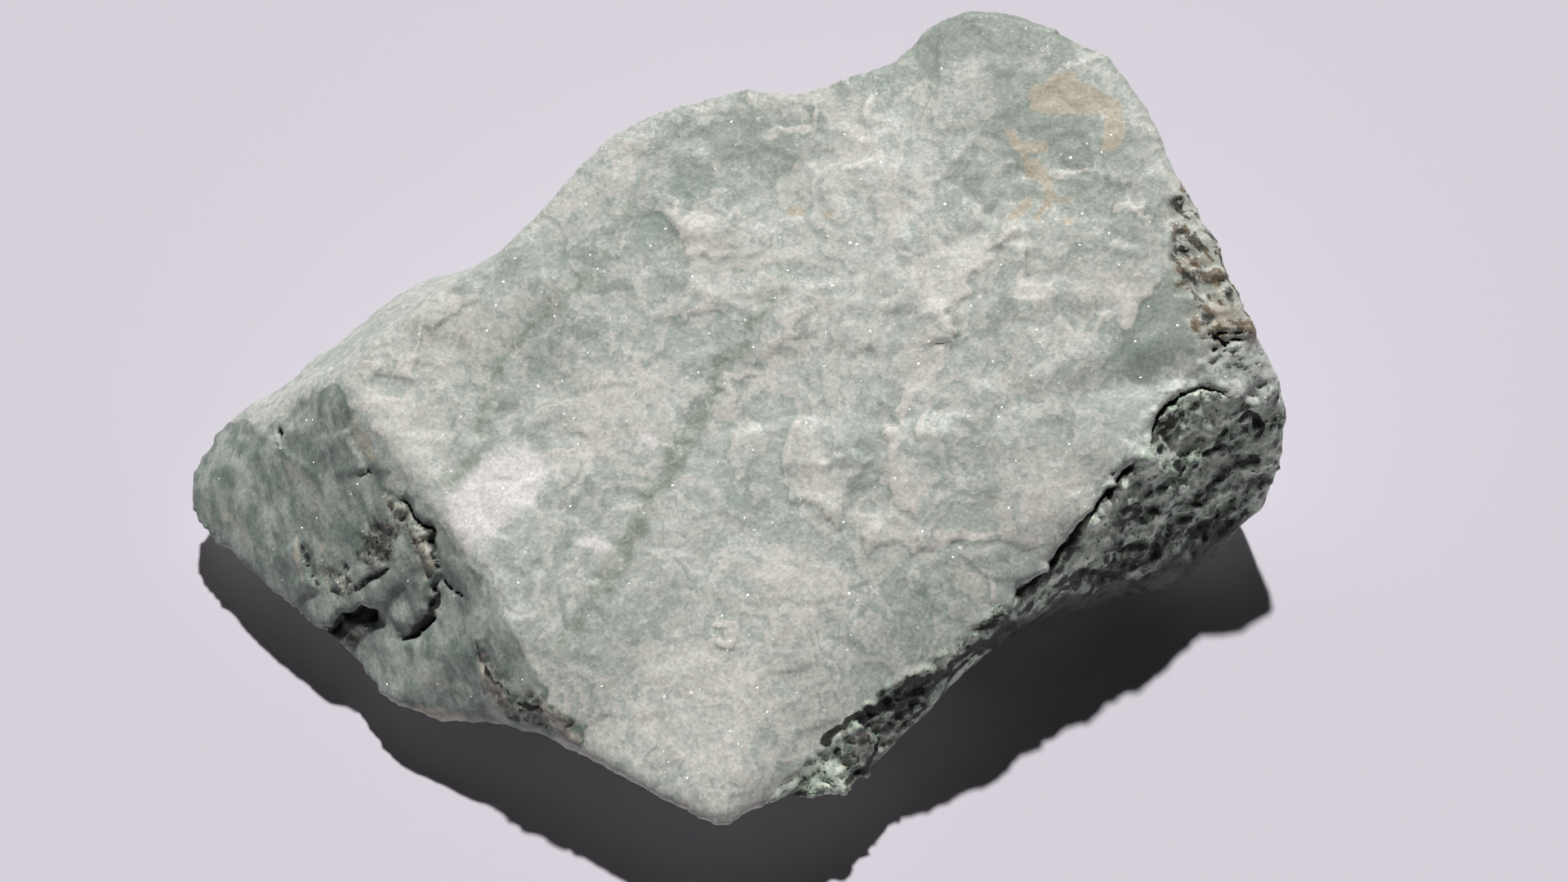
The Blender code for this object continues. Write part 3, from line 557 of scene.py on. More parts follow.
# How far the crease's painted shade darkens the dark side's streaks
CREASE_SHADE_LOSS = 0.09
CLUMP_SPAN = (0.25, 0.75, -0.5, 0.5)
CLUMP_SHARE = 0.1
SIDE_PALE_CLUMPS = (0.52, 0.56)
SIDE_PALE_SUGAR = (0.4, 0.52)
# Share of the belly's painted shade
BELLY_SHADE_SHARE = 0.9
STAIN_SPAN = (0.2, 0.8)
STAIN_GROUND_SHARE = 0.45
RUST_SPAN = (0.5, 0.6)
RUST_SHARE = 0.5
BLOT_SPAN = (0.49, 0.55)
BLOT_SHARE = 0.9

# Sheen and grain: the range of each over the noise that it follows, and the thin glinting coat
GRAIN_SHADES = (0.0, 1.0, 0.86, 1.13)
FINE_SHADES = (0.3, 0.7, 0.93, 1.06)
ROUGHNESS = (0.3, 0.7, 0.42, 0.68)
COAT_WEIGHT = 0.07
COAT_ROUGHNESS = 0.1
BUMP_STRENGTH = 0.14
BUMP_DISTANCE = 0.0001


def face_height(x, y):
    """Height of the pale face's plane."""
    return FACE_HEIGHT + FACE_SLOPE_X * x + FACE_SLOPE_Y * y


def corner_pairs():
    """Every corner pair, clockwise, with the back's second corners worked out."""
    back = []
    for i, (x, y, z) in enumerate(BACK_EDGE):
        out = BACK_BULGE + BACK_BULGE_SWING * np.sin(BACK_BULGE_PACE * i * 2)
        share = BACK_BULGE_HEIGHT + BACK_BULGE_HEIGHT_SWING * np.sin(BACK_BULGE_PACE * i)
        back.append(((x, y, z), (x, y + out, z * share)))
    return LEFT_TIP_AND_SHELF + tuple(back) + RIGHT_BULGE + DARK_SIDE + LOW_CORNER + LEFT_END


def face_loop(edges, share):
    """A loop on the pale face, this share of the way from its edge to its middle."""
    flat = edges[:, :2] * (1 - share) + np.array(FACE_MIDDLE) * share
    drop = face_height(edges[:, 0], edges[:, 1]) - edges[:, 2]
    height = face_height(flat[:, 0], flat[:, 1]) - drop * (1 - share) ** FACE_ROLL
    return np.column_stack((flat, height))


def spot_loop(rims):
    """The rim of the flat spot, a point under each corner pair."""
    angle = np.arctan2(rims[:, 1] - SPOT_MIDDLE[1], rims[:, 0] - SPOT_MIDDLE[0])
    reach = 1 + sum(share * np.sin(count * angle + count) for count, share in SPOT_WAVES)
    across = SPOT_MIDDLE[0] + SPOT_HALF_LENGTH * reach * np.cos(angle)
    away = SPOT_MIDDLE[1] + SPOT_HALF_WIDTH * reach * np.sin(angle)
    return np.column_stack((across, away, np.zeros(len(rims))))


def underside_loop(rims, spot):
    """A loop between the widest line and the flat spot, low enough to round the underside.

    Under the right end it stands further out and back, which gives that end a blunt heel."""
    reach = np.interp(rims[:, 2], UNDERSIDE_REACH_HEIGHTS, UNDERSIDE_REACH)
    heel = smooth_step(rims[:, 0], *HEEL_START)
    reach = reach + (HEEL_REACH - reach) * heel
    flat = spot[:, :2] + (rims[:, :2] - spot[:, :2]) * reach[:, None]
    flat[:, 1] += HEEL_SHIFT * heel
    return np.column_stack((flat, rims[:, 2] * UNDERSIDE_RISE))


def cage():
    """Points and faces of the closed cage."""
    edges, rims = np.array(corner_pairs()).transpose(1, 0, 2)
    spot = spot_loop(rims)
    loops = [face_loop(edges, share) for share in reversed(FACE_LOOPS)]
    loops += [edges, rims, underside_loop(rims, spot), spot]
    top = (*FACE_MIDDLE, face_height(*FACE_MIDDLE))
    bottom = (*SPOT_MIDDLE, 0.0)
    points = np.vstack(loops + [top, bottom])
    count = len(edges)
    last = (len(loops) - 1) * count
    faces = []
    for i in range(count):
        after = (i + 1) % count
        faces.append((len(points) - 2, after, i))
        faces.append((len(points) - 1, last + i, last + after))
        for inner in range(0, last, count):
            outer = inner + count
            faces.append((inner + i, inner + after, outer + after, outer + i))
    return points, faces


def mesh_of(name, points, faces):
    """A Blender mesh in metres from points in millimetres."""
    mesh = bpy.data.meshes.new(name)
    mesh.from_pydata((np.asarray(points) * MM).tolist(), [], faces)
    mesh.update()
    return mesh


def with_modifier(mesh, kind, **values):
    """A copy of the mesh with one modifier applied."""
    helper = bpy.data.objects.new("helper", mesh)
    bpy.context.scene.collection.objects.link(helper)
    modifier = helper.modifiers.new("made", kind)
    for name, value in values.items():
        setattr(modifier, name, value)
    graph = bpy.context.evaluated_depsgraph_get()
    made = bpy.data.meshes.new_from_object(helper.evaluated_get(graph))
    bpy.data.objects.remove(helper)
    return made


def smoothed(mesh, rounds):
    """A copy of the mesh with its points evened out this many times."""
    return with_modifier(mesh, "SMOOTH", factor=SMOOTHING_SHARE, iterations=rounds)


def threes_of(elements, field):
    """One field of three numbers of each element."""
    values = np.empty(len(elements) * 3)
    elements.foreach_get(field, values)
    return values.reshape(-1, 3)


def points_of(mesh):
    """The mesh's points in millimetres."""
    return threes_of(mesh.vertices, "co") / MM


def set_points(mesh, points):
    """Writes points in millimetres back to the mesh."""
    mesh.vertices.foreach_set("co", (points * MM).ravel())
    mesh.update()


def normals_of(mesh):
    """The direction that the skin faces at each point."""
    return threes_of(mesh.vertex_normals, "vector")


def edge_ends(mesh):
    """The first and the second points of the mesh's edges."""
    ends = np.empty(len(mesh.edges) * 2, int)
    mesh.edges.foreach_get("vertices", ends)
    return ends.reshape(-1, 2).T


def with_neighbours(ends, values, start):
    """What each point starts with, and its neighbours' values added to it."""
    total = start.copy()
    for here, there in (ends, ends[::-1]):
        for axis in range(3):
            total[:, axis] += np.bincount(here, values[there, axis], len(values))
    return total


def evened(mesh, values, rounds):
    """Directions at the mesh's points, averaged with their neighbours' this many times."""
    ends = edge_ends(mesh)
    for _ in range(rounds):
        total = with_neighbours(ends, values, values)
        values = total / np.linalg.norm(total, axis=1)[:, None]
    return values


def eased(mesh, points, shares, rounds):
    """Points drawn towards the middle of their neighbours, each by its own share, this many times."""
    ends = edge_ends(mesh)
    count = np.bincount(ends.ravel(), minlength=len(points))
    for _ in range(rounds):
        middles = with_neighbours(ends, points, np.zeros_like(points)) / count[:, None]
        points = points + (middles - points) * shares[:, None]
    return points


def smooth_step(values, start, end):
    """0 up to start, 1 from end, with a soft rise between them."""
    share = np.clip((values - start) / (end - start), 0.0, 1.0)
    return share * share * (3 - 2 * share)


def soft_noise(points, size, seed):
    """Smooth noise from -1 to 1 in lumps of about this size."""
    lattice = np.random.default_rng(seed).uniform(-1.0, 1.0, (NOISE_CELLS,) * 3)
    place = points / size + NOISE_SHIFT
    low = np.floor(place).astype(int)
    part = place - low
    part = part * part * (3 - 2 * part)
    total = np.zeros(len(points))
    for corner in range(8):
        step = np.array([corner & 1, corner >> 1 & 1, corner >> 2 & 1])
        index = (low + step) % NOISE_CELLS
        weight = np.prod(np.where(step == 1, part, 1 - part), axis=1)
        total += weight * lattice[tuple(index.T)]
    return total


def picture_noise(places, size, seed):
    """Smooth noise over the picture, in lumps of about this many pixels."""
    return soft_noise(np.column_stack((places, np.zeros(len(places)))), size, seed)


def nearest_seeds(points, size, seed):
    """The two nearest of a scatter of seeds to each point, each as its distance, number and gap."""
    jitter = np.random.default_rng(seed).uniform(0.0, 1.0, (SEED_CELLS**3, 3))
    place = points / size + SEED_SHIFT
    low = np.floor(place).astype(int)
    near = np.full((len(points), 5), np.inf)
    second = near
    for step in np.ndindex(3, 3, 3):
        cell = low + np.array(step) - 1
        index = cell % SEED_CELLS
        name = (index[:, 0] * SEED_CELLS + index[:, 1]) * SEED_CELLS + index[:, 2]
        gap = place - cell - jitter[name]
        found = np.column_stack((np.linalg.norm(gap, axis=1), name, gap))
        nearer = found[:, :1] < near[:, :1]
        second = np.where(nearer, near, np.where(found[:, :1] < second[:, :1], found, second))
        near = np.where(nearer, found, near)
    scale = (size, 1, size, size, size)
    return near * scale, second * scale


def facets(points, size, height, tilt, step, seed):
    """Small broken facets: each has its own height and tilt, and meets the next in a ragged step."""
    warp = [soft_noise(points, size * FACET_WARP_SIZE, seed + FACET_WARP_SEED + i) for i in range(3)]
    rag = [soft_noise(points, FACET_RAG_SIZE, seed + FACET_RAG_SEED + i) for i in range(3)]
    moved = points + FACET_WARP * size * np.column_stack(warp) + FACET_RAG * np.column_stack(rag)
    seeds = nearest_seeds(moved, size, seed)
    chance = np.random.default_rng(seed + 1)
    heights = chance.uniform(-height, height, SEED_CELLS**3)
    tilts = chance.normal(0.0, tilt, (SEED_CELLS**3, 3))
    lifts = []
    for found in seeds:
        name = found[:, 1].astype(int)
        lifts.append(heights[name] + (found[:, 2:] * tilts[name]).sum(axis=1))
    share = 0.5 + 0.5 * smooth_step(seeds[1][:, 0] - seeds[0][:, 0], 0.0, step)
    return lifts[0] * share + lifts[1] * (1 - share)


def layered(points, lumps, facet_layers=()):
    """Lumps and facets added up."""
    lift = np.zeros(len(points))
    for size, height, seed in lumps:
        lift += height * soft_noise(points, size, seed)
    for layer in facet_layers:
        lift += facets(points, *layer)
    return lift


def view_axes():
    """The picture's right, up and towards-the-viewer directions."""
    right = np.array([1.0, 0.0, 0.0])
    up = np.array([0.0, np.sin(VIEW_TILT), np.cos(VIEW_TILT)])
    back = np.array([0.0, -np.cos(VIEW_TILT), np.sin(VIEW_TILT)])
    return right, up, back


def pixels_of(points):
    """Where the photograph shows each point of the cage's space, in pixels with up positive."""
    right, up, back = view_axes()
    offset = points - np.array([0.0, 0.0, VIEW_TARGET_HEIGHT])
    scale = LENS / SENSOR * PICTURE[0] / (VIEW_DISTANCE - offset @ back)
    across = PICTURE[0] / 2 + offset @ right * scale
    down = PICTURE[1] / 2 - offset @ up * scale
    return np.column_stack((across, -down))


def facing_of(normals):
    """How squarely each point faces the photograph's view."""
    return normals @ view_axes()[2]


def picture_direction(across, up):
    """A direction in the picture as one in the cage's space."""
    right, upward, _ = view_axes()
    direction = across * right + up * upward
    return direction / np.linalg.norm(direction)


def ragged(places):
    """The places shifted by small steps, so that what follows a line follows it raggedly."""
    shift = np.zeros_like(places)
    for size, reach, seed in LINE_RAG:
        for axis in range(2):
            shift[:, axis] += reach * picture_noise(places, size, seed + axis)
    return places + shift


def picture_places(points):
    """Where the photograph shows each point, and the same shifted mildly and fully."""
    places = pixels_of(points)
    loose = ragged(places)
    return places, places + MILD_RAG * (loose - places), loose


def upright(line):
    """A line of pixels with up positive, so that its left side is the picture's left side."""
    return np.reshape(line, (-1, 2)) * (1.0, -1.0)


def from_line(places, line):
    """Distance of each place from a line of points, positive on its left, and the share along it."""
    best = np.full(len(places), np.inf)
    side = np.ones(len(places))
    along = np.zeros(len(places))
    squareness = np.full(len(places), -1.0)
    lengths = np.linalg.norm(np.diff(line, axis=0), axis=1)
    starts = np.concatenate(([0.0], np.cumsum(lengths)))
    for i, length in enumerate(lengths):
        direction = (line[i + 1] - line[i]) / length
        offset = places - line[i]
        run = np.clip(offset @ direction, 0.0, length)
        gap = offset - run[:, None] * direction
        distance = np.hypot(gap[:, 0], gap[:, 1])
        cross = direction[0] * offset[:, 1] - direction[1] * offset[:, 0]
        square = np.abs(cross) / np.maximum(distance, TINY)
        tied = np.abs(distance - best) < TIE
        nearer = (distance < best - TIE) | (tied & (square > squareness))
        best = np.where(nearer, distance, best)
        squareness = np.where(nearer, square, squareness)
        side = np.where(nearer, np.where(cross >= 0, 1.0, -1.0), side)
        along = np.where(nearer, (starts[i] + run) / starts[-1], along)
    return best * side, along


def beside(places, line):
    """The distance from a line of the picture, and a share that falls from 1 to 0 at its ends."""
    distance, along = from_line(places, upright(line))
    return distance, smooth_step(along, 0.0, LINE_END) * (1 - smooth_step(along, 1 - LINE_END, 1.0))


def near_line(places, line, half_width, strength=1.0):
    """The strength on the line, falling to 0 past its half width and towards its ends."""
    distance, ends = beside(places, line)
    return ends * np.exp(-((distance / half_width) ** 2)) * strength


def in_area(places, outline, softness, strength=1.0):
    """The strength well inside the outline and 0 well outside it, passing half on the outline itself."""
    outline = upright(outline)
    inside = np.zeros(len(places), bool)
    nearest = np.full(len(places), np.inf)
    for start, end in zip(outline, np.roll(outline, -1, axis=0)):
        offset = places - start
        edge = end - start
        run = np.clip(offset @ edge / (edge @ edge), 0.0, 1.0)
        nearest = np.minimum(nearest, np.hypot(*(offset - run[:, None] * edge).T))
        spans = (start[1] > places[:, 1]) != (end[1] > places[:, 1])
        height = edge[1] if abs(edge[1]) > TINY else TINY
        inside ^= spans & (places[:, 0] < start[0] + edge[0] * offset[:, 1] / height)
    return (0.5 + 0.5 * np.clip(np.where(inside, nearest, -nearest) / softness, -1.0, 1.0)) * strength


def most(places, rows, shape):
    """The greatest of what the shape gives at each place, over all rows."""
    return np.maximum.reduce([shape(places, *row) for row in rows])


def ledge(places, line, height, fade):
    """Raised ground behind a lip, which fades away from it and towards the lip's ends."""
    distance, ends = beside(places, line)
    rise = smooth_step(distance, -LEDGE_RUN / 2, LEDGE_RUN / 2)
    return height * rise * ends * np.exp(-np.maximum(distance, 0.0) / fade)


def swelling(places):
    """How wide a crack is at each place, as a share of its width."""
    return CRACK_SWELL_MIDDLE + CRACK_SWELL_REACH * picture_noise(places, *CRACK_SWELL)


def crack(places, swell, line, half_width, depth):
    """A groove with a sharp bottom, which closes towards the line's ends."""
    distance, ends = beside(places, line)
    return depth * ends * np.exp(-np.abs(distance) / (half_width * swell))


def broad_shape(points, normals, soft_normals):
    """The skin's points moved by the broad lumps and facets."""
    seen = smooth_step(facing_of(soft_normals), *SEEN_SHAPE)
    seen_lift = layered(points, SEEN_LAYERS, SEEN_FACETS)
    hidden_lift = layered(points, HIDDEN_LAYERS, HIDDEN_FACETS) * smooth_step(points[:, 2], *SPOT_FADE)
    lift = seen_lift * seen + hidden_lift * (1 - seen)
    return points + normals * lift[:, None]


def fibrous(points, fibre, stretch, layers):
    """Lumps stretched along a direction, like fibres."""
    direction = picture_direction(*fibre)
    along = points @ direction
    return layered(points - np.outer(along * (1 - 1 / stretch), direction), layers)


def sheet_level(points):
    """The field that the broken sheets follow."""
    return sum(share * soft_noise(points, size, seed) for size, share, seed in SHEET_FIELD)


def sheets(level):
    """The height of the broken sheets, a step at each level."""
    return sum(SHEET_HEIGHT * smooth_step(level, step - SHEET_RUN / 2, step + SHEET_RUN / 2)
               for step in SHEET_LEVELS)


def fine_shape(points, normals, soft_normals):
    """The skin's points moved by ledges, cracks, small facets, fibres and grain."""
    places, mild, loose = picture_places(points)
    facing = facing_of(soft_normals)
    seen = smooth_step(facing_of(normals), *SEEN_RELIEF)
    left_end = in_area(places, LEFT_END_AREA, AREA_EDGE) * seen
    dark = in_area(places, DARK_AREA, AREA_EDGE) * seen
    belly = in_area(places, BELLY_AREA, AREA_EDGE) * dark
    rough_side = np.maximum(left_end, dark)
    lift = sum(ledge(loose, *row) for row in LEDGES)
    patches = smooth_step(soft_noise(points, *LEDGE_PATCHES), *LEDGE_PATCH_SPAN)
    lift *= (1 - rough_side) * (LEDGE_PATCH_LEAST + (1 - LEDGE_PATCH_LEAST) * patches)
    for row in SIDE_LEDGES:
        lift += ledge(mild, *row) * rough_side
    swell = swelling(mild)
    for row in CRACKS:
        lift -= crack(mild, swell, *row)
    lift *= seen
    lift += sheets(sheet_level(points)) * (1 - rough_side)
    crumbly = most(mild, CRUMB_AREAS + STAIN_AREAS + ROUGH_AREAS, in_area)
    lift += layered(points, CRUMB_LAYERS, CRUMB_FACETS) * (crumbly * smooth_step(facing, *SEEN_CRUMBS))
    lift += layered(points, FINE_LAYERS, FINE_FACETS) * (1 + HIDDEN_FINE_GAIN * (1 - seen))
    square = smooth_step(facing, *SEEN_FIBRES)
    fibres = fibrous(points, LEFT_FIBRE, LEFT_FIBRE_STRETCH, LEFT_FIBRE_LAYERS)
    lift += fibres * left_end * square
    lift += layered(points, SUGAR_LAYERS, SUGAR_FACETS) * dark * (1 - BELLY_SUGAR_LOSS * belly) * square
    fibres = fibrous(points, DARK_FIBRE, DARK_FIBRE_STRETCH, DARK_FIBRE_LAYERS)
    lift += fibres * dark * (1 - BELLY_FIBRE_LOSS * belly) * square
    lift *= smooth_step(points[:, 2], *FOOT_FADE)
    return points + normals * lift[:, None]


def lips(places, loose, pale_face):
    """How near each place is to a ledge's lip, and which side of it it is on."""
    spread = 1 + LIP_SPREAD_REACH * picture_noise(places, *LIP_SPREAD)
    nearness = np.zeros(len(places))
    side = np.zeros(len(places))
    for line, _, _ in LEDGES:
        distance, ends = beside(loose, line)
        strength = ends * pale_face * np.clip(1 - np.abs(distance) / (LIP_WIDTH * spread), 0.0, 1.0)
        side = np.where(strength > nearness, np.clip(distance / LIP_WIDTH, -1.0, 1.0), side)
        nearness = np.maximum(nearness, strength)
    return nearness, side


def colour_masks(points, normals):
    """How much of each colour every point has, by name."""
    places, mild, loose = picture_places(points)
    left_end = in_area(loose, LEFT_END_AREA, LEFT_EDGE)
    dark_side = in_area(loose, DARK_AREA, AREA_EDGE)
    lip, lip_side = lips(places, loose, (1 - left_end) * (1 - dark_side))
    swell = swelling(mild)
    cracks = [(line, half_width * swell) for line, half_width, _ in CRACKS]
    veins = [(line, half_width * VEIN_SPREAD, strength) for line, half_width, strength in GREEN_LINES]
    veil = most(loose, veins, near_line) * VEIN_SPREAD_SHARE
    # Painted shade: the dark lines and the cracks are darkened towards near black
    line_and_crack_shade = np.maximum(most(loose, DARK_LINES, near_line), most(mild, cracks, near_line))
    masks = {
        "left_end": left_end,
        "dark_side": dark_side,
        "belly": in_area(loose, BELLY_AREA, AREA_EDGE) * dark_side,
        "crease_shade": most(loose, CREASE_SHADE_AREAS, in_area),
        "green": np.maximum(most(loose, GREEN_AREAS, in_area), veil),
        "vein": most(loose, GREEN_LINES, near_line),
        "cream": most(loose, CREAM_AREAS, in_area) * CREAM_GAIN,
        "white": most(mild, WHITE_AREAS, in_area),
        "pale": most(mild, PALE_LINES, near_line),
        "lip": lip,
        "lip_side": lip_side,
        "crust": np.maximum(most(mild, CRUST_AREAS, in_area), most(mild, CRUST_LINES, near_line)),
        "crumb": most(mild, CRUMB_AREAS, in_area),
        "rough": most(mild, ROUGH_AREAS, in_area),
        "stain": most(loose, STAIN_AREAS, in_area),
        "specks_and_crevice_shade": np.maximum(line_and_crack_shade, most(mild, SPECK_AND_CREVICE_SHADE_AREAS, in_area)),
    }
    facing = facing_of(normals)
    seen = smooth_step(facing, *SEEN_COLOURS)
    wrapped = smooth_step(facing + WRAP_REACH * soft_noise(points, *WRAP), *SEEN_SIDES)
    for name in masks:
        masks[name] = masks[name] * (wrapped if name in WRAPPED_MASKS else seen)
    masks["sheet"] = sheet_level(points)
    return masks


def rested(points):
    """The flat spot made flat again."""
    flat = points.copy()
    flat[:, 2] = np.where(flat[:, 2] < SPOT_SNAP, 0.0, flat[:, 2])
    return flat


def split_seen_faces(mesh):
    """Each face that the photograph shows cut in four."""
    work = bmesh.new()
    work.from_mesh(mesh)
    back = Vector(view_axes()[2])
    seen = [face for face in work.faces if face.normal @ back > SPLIT_FACING]
    edges = {edge for face in seen for edge in face.edges}
    bmesh.ops.subdivide_edges(work, edges=list(edges), cuts=1, use_grid_fill=True)
    work.to_mesh(mesh)
    work.free()
    mesh.update()


def rock_mesh():
    """The dense mesh of the whole rock."""
    mesh = with_modifier(mesh_of("cage", *cage()), "REMESH", mode="VOXEL", voxel_size=SKIN_GRID * MM)
    mesh = smoothed(mesh, SKIN_SMOOTHING)
    normals = evened(mesh, normals_of(mesh), NORMAL_SMOOTHING)
    set_points(mesh, broad_shape(points_of(mesh), normals, evened(mesh, normals, BROAD_RIM_SMOOTHING)))
    mesh = smoothed(mesh, BROAD_SMOOTHING)
    points = points_of(mesh)
    shares = RIGHT_RIM_EASE * smooth_step(points[:, 0], *RIGHT_RIM)
    set_points(mesh, eased(mesh, points, shares, RIGHT_RIM_ROUNDS))
    split_seen_faces(mesh)
    masks = colour_masks(points_of(mesh), normals_of(mesh))
    normals = evened(mesh, normals_of(mesh), NORMAL_SMOOTHING)
    soft_normals = evened(mesh, normals, RIM_SMOOTHING)
    set_points(mesh, rested(fine_shape(points_of(mesh), normals, soft_normals)))
    for name, values in masks.items():
        mesh.attributes.new(name, "FLOAT", "POINT").data.foreach_set("value", values.astype(np.float32))
    mesh.shade_smooth()
    return mesh


def make_rock():
    """The rock's piece, in place of the solid."""
    mesh = rock_mesh()
    mesh.name = "rock_skin"
    mesh.materials.append(stone_material())
    set_points(mesh, points_of(mesh) - CAGE_MIDDLE)
    rock = bpy.data.objects.new("rock_skin", mesh)
    bpy.context.scene.collection.objects.link(rock)
    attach(rock, "root")
    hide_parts(NODE_NAME)


class Graph:
    """Short names for the nodes of one material."""

    def __init__(self, material):
        material.use_nodes = True
        self.tree = material.node_tree
        self.shader = self.tree.nodes["Principled BSDF"]
        self.place = self.node("TexCoord").outputs["Object"]
        self.fields = {name: self.noise(*values) for name, values in NOISES.items()}

    def named(self, name):
        """The output of a noise or of one of the skin's masks."""
        if name not in self.fields:
            self.fields[name] = self.node("Attribute", attribute_name=name).outputs["Fac"]
        return self.fields[name]

    def feed(self, socket, value):
        """Links an output or what has this name to a socket, or sets it to a number or colour."""
        if isinstance(value, str):
            value = self.named(value)
        if isinstance(value, bpy.types.NodeSocket):
            self.tree.links.new(value, socket)
        else:
            socket.default_value = value

    def node(self, kind, inputs=None, **settings):
        """A new node with its settings and with its inputs fed."""
        node = self.tree.nodes.new("ShaderNode" + kind)
        for name, value in settings.items():
            setattr(node, name, value)
        for name, value in (inputs or {}).items():
            self.feed(node.inputs[name], value)
        return node

    def math(self, operation, *inputs):
        """The outcome of a sum with numbers."""
        return self.node("Math", dict(enumerate(inputs)), operation=operation).outputs[0]

    def vector(self, operation, *inputs):
        """The outcome of a sum with vectors."""
        node = self.node("VectorMath", dict(enumerate(inputs)), operation=operation)
        return node.outputs["Value" if operation == "DOT_PRODUCT" else "Vector"]

    def stretched(self, fibre, stretch):
        """Coordinates squeezed along a direction in the picture."""
        direction = picture_direction(*fibre)
        along = self.vector("DOT_PRODUCT", self.place, direction)
        return self.vector("ADD", self.place, self.vector("MULTIPLY", direction * (1 / stretch - 1), along))

    def noise(self, size, detail, roughness, shift, *fibre):
        """Noise with lumps of about this many millimetres."""
        place = self.stretched(*fibre) if fibre else self.place
        inputs = {"Vector": place, "W": shift, "Scale": 1.0 / (size * MM), "Detail": detail,
                  "Roughness": roughness}
        return self.node("TexNoise", inputs, noise_dimensions="4D").outputs["Fac"]

    def cells(self, size):
        """Grains of about this many millimetres."""
        return self.node("TexVoronoi", {"Vector": self.place, "Scale": 1.0 / (size * MM)}).outputs

    def span(self, value, low, high, start=0.0, end=1.0):
        """The value's range from low to high drawn out from start to end."""
        inputs = {"Value": value, "From Min": low, "From Max": high, "To Min": start, "To Max": end}
        return self.node("MapRange", inputs, interpolation_type="SMOOTHSTEP").outputs["Result"]

    def times(self, first, second):
        """One number times another."""
        return self.math("MULTIPLY", first, second)

    def shaken(self, value, noise, reach):
        """A value moved up and down by noise."""
        return self.math("ADD", value, self.times(self.math("SUBTRACT", noise, 0.5), reach))

    def broken(self, mask, noise, ease, rag):
        """A mask with its edge broken up by noise."""
        return self.span(self.shaken(mask, noise, rag), 0.5 - ease / 2, 0.5 + ease / 2)

    def mix(self, share, first, second, blend="MIX"):
        """The first colour with this share of the second."""
        inputs = {0: share, 6: first, 7: second}
        return self.node("Mix", inputs, data_type="RGBA", blend_type=blend).outputs[2]

    def laid(self, colour, other, mask, share):
        """A colour with another laid over it by a mask and a share."""
        return self.mix(self.times(mask, share), colour, other)

    def tinted(self, colour, tints):
        """A colour with others laid over it, each where its noise is along its span."""
        for noise, span, tint, share in tints:
            colour = self.laid(colour, tint, self.span(noise, *span), share)
        return colour

    def coated(self, colour, other, mask, noise, ease, rag, share, gain=1.0):
        """A colour with another laid over it by a mask with a broken edge."""
        return self.laid(colour, other, self.broken(self.times(mask, gain), noise, ease, rag), share)


def sheet_colours(graph, colour):
    """A colour with the broken sheets' pale lips and green feet on it."""
    level = graph.shaken("sheet", "feathers", SHEET_FEATHER)
    for step in SHEET_LEVELS:
        edge = step + SHEET_EDGE
        lip = graph.times(graph.span(level, step, edge), graph.span(level, step + SHEET_LIP, edge))
        colour = graph.laid(colour, CREAM, lip, SHEET_LIP_SHARE)
        foot = graph.times(graph.span(level, step - SHEET_FOOT, step), graph.span(level, edge, step))
        colour = graph.laid(colour, GREEN, foot, SHEET_FOOT_SHARE)
    return colour


def lip_colours(graph, colour):
    """A colour with the ledges' lips on it, cream above and shaded below."""
    above = graph.times(graph.span("lip_side", 0.0, LIP_SIDE), graph.broken("lip", "scallops", *LIP_EDGE))
    above = graph.times(above, graph.span("patches", *LIP_PATCHES))
    below = graph.times(graph.span("lip_side", 0.0, -LIP_SIDE), graph.span("lip", *LIP_SHADE_SPAN))
    below = graph.times(below, graph.span("patches", *LIP_SHADE_PATCHES))
    return graph.laid(graph.laid(colour, CREAM, above, LIP_SHARE), LIP_SHADE, below, LIP_SHADE_SHARE)


def dark_colours(graph):
    """The dark side's grey-green grains, with painted shade in black between them and pale crumbs partly
    brightened as painted sunlight, and painted shade in its crease and on its belly.
    """
    streaks = graph.math("SUBTRACT", "dark streaks", graph.times("crease_shade", CREASE_SHADE_LOSS))
    clump = graph.span(graph.cells(CLUMP_SIZE)["Color"], *CLUMP_SPAN)
    graph.fields["clumps"] = graph.math("ADD", streaks, graph.times(clump, CLUMP_SHARE))
    bright = graph.times(graph.span("clumps", *SIDE_PALE_CLUMPS), graph.span("sugar", *SIDE_PALE_SUGAR))
    colour = graph.mix(bright, graph.tinted(SIDE_BLACK, DARK_TINTS), SIDE_PALE)
    return graph.laid(colour, BELLY_SHADE, "belly", BELLY_SHADE_SHARE)


def stain_colours(graph, colour):
    """A colour with the brown stain on it: its ground, its rust and its dark blots."""
    stained = graph.span("stain", *STAIN_SPAN)
    colour = graph.laid(colour, STAIN_GROUND, stained, STAIN_GROUND_SHARE)
    colour = graph.laid(colour, RUST, graph.times(stained, graph.span("spread", *RUST_SPAN)), RUST_SHARE)
    blots = graph.times(stained, graph.span("blots", *BLOT_SPAN))
    return graph.laid(colour, graph.tinted(SIDE_BLACK, STAIN_TINTS), blots, BLOT_SHARE)


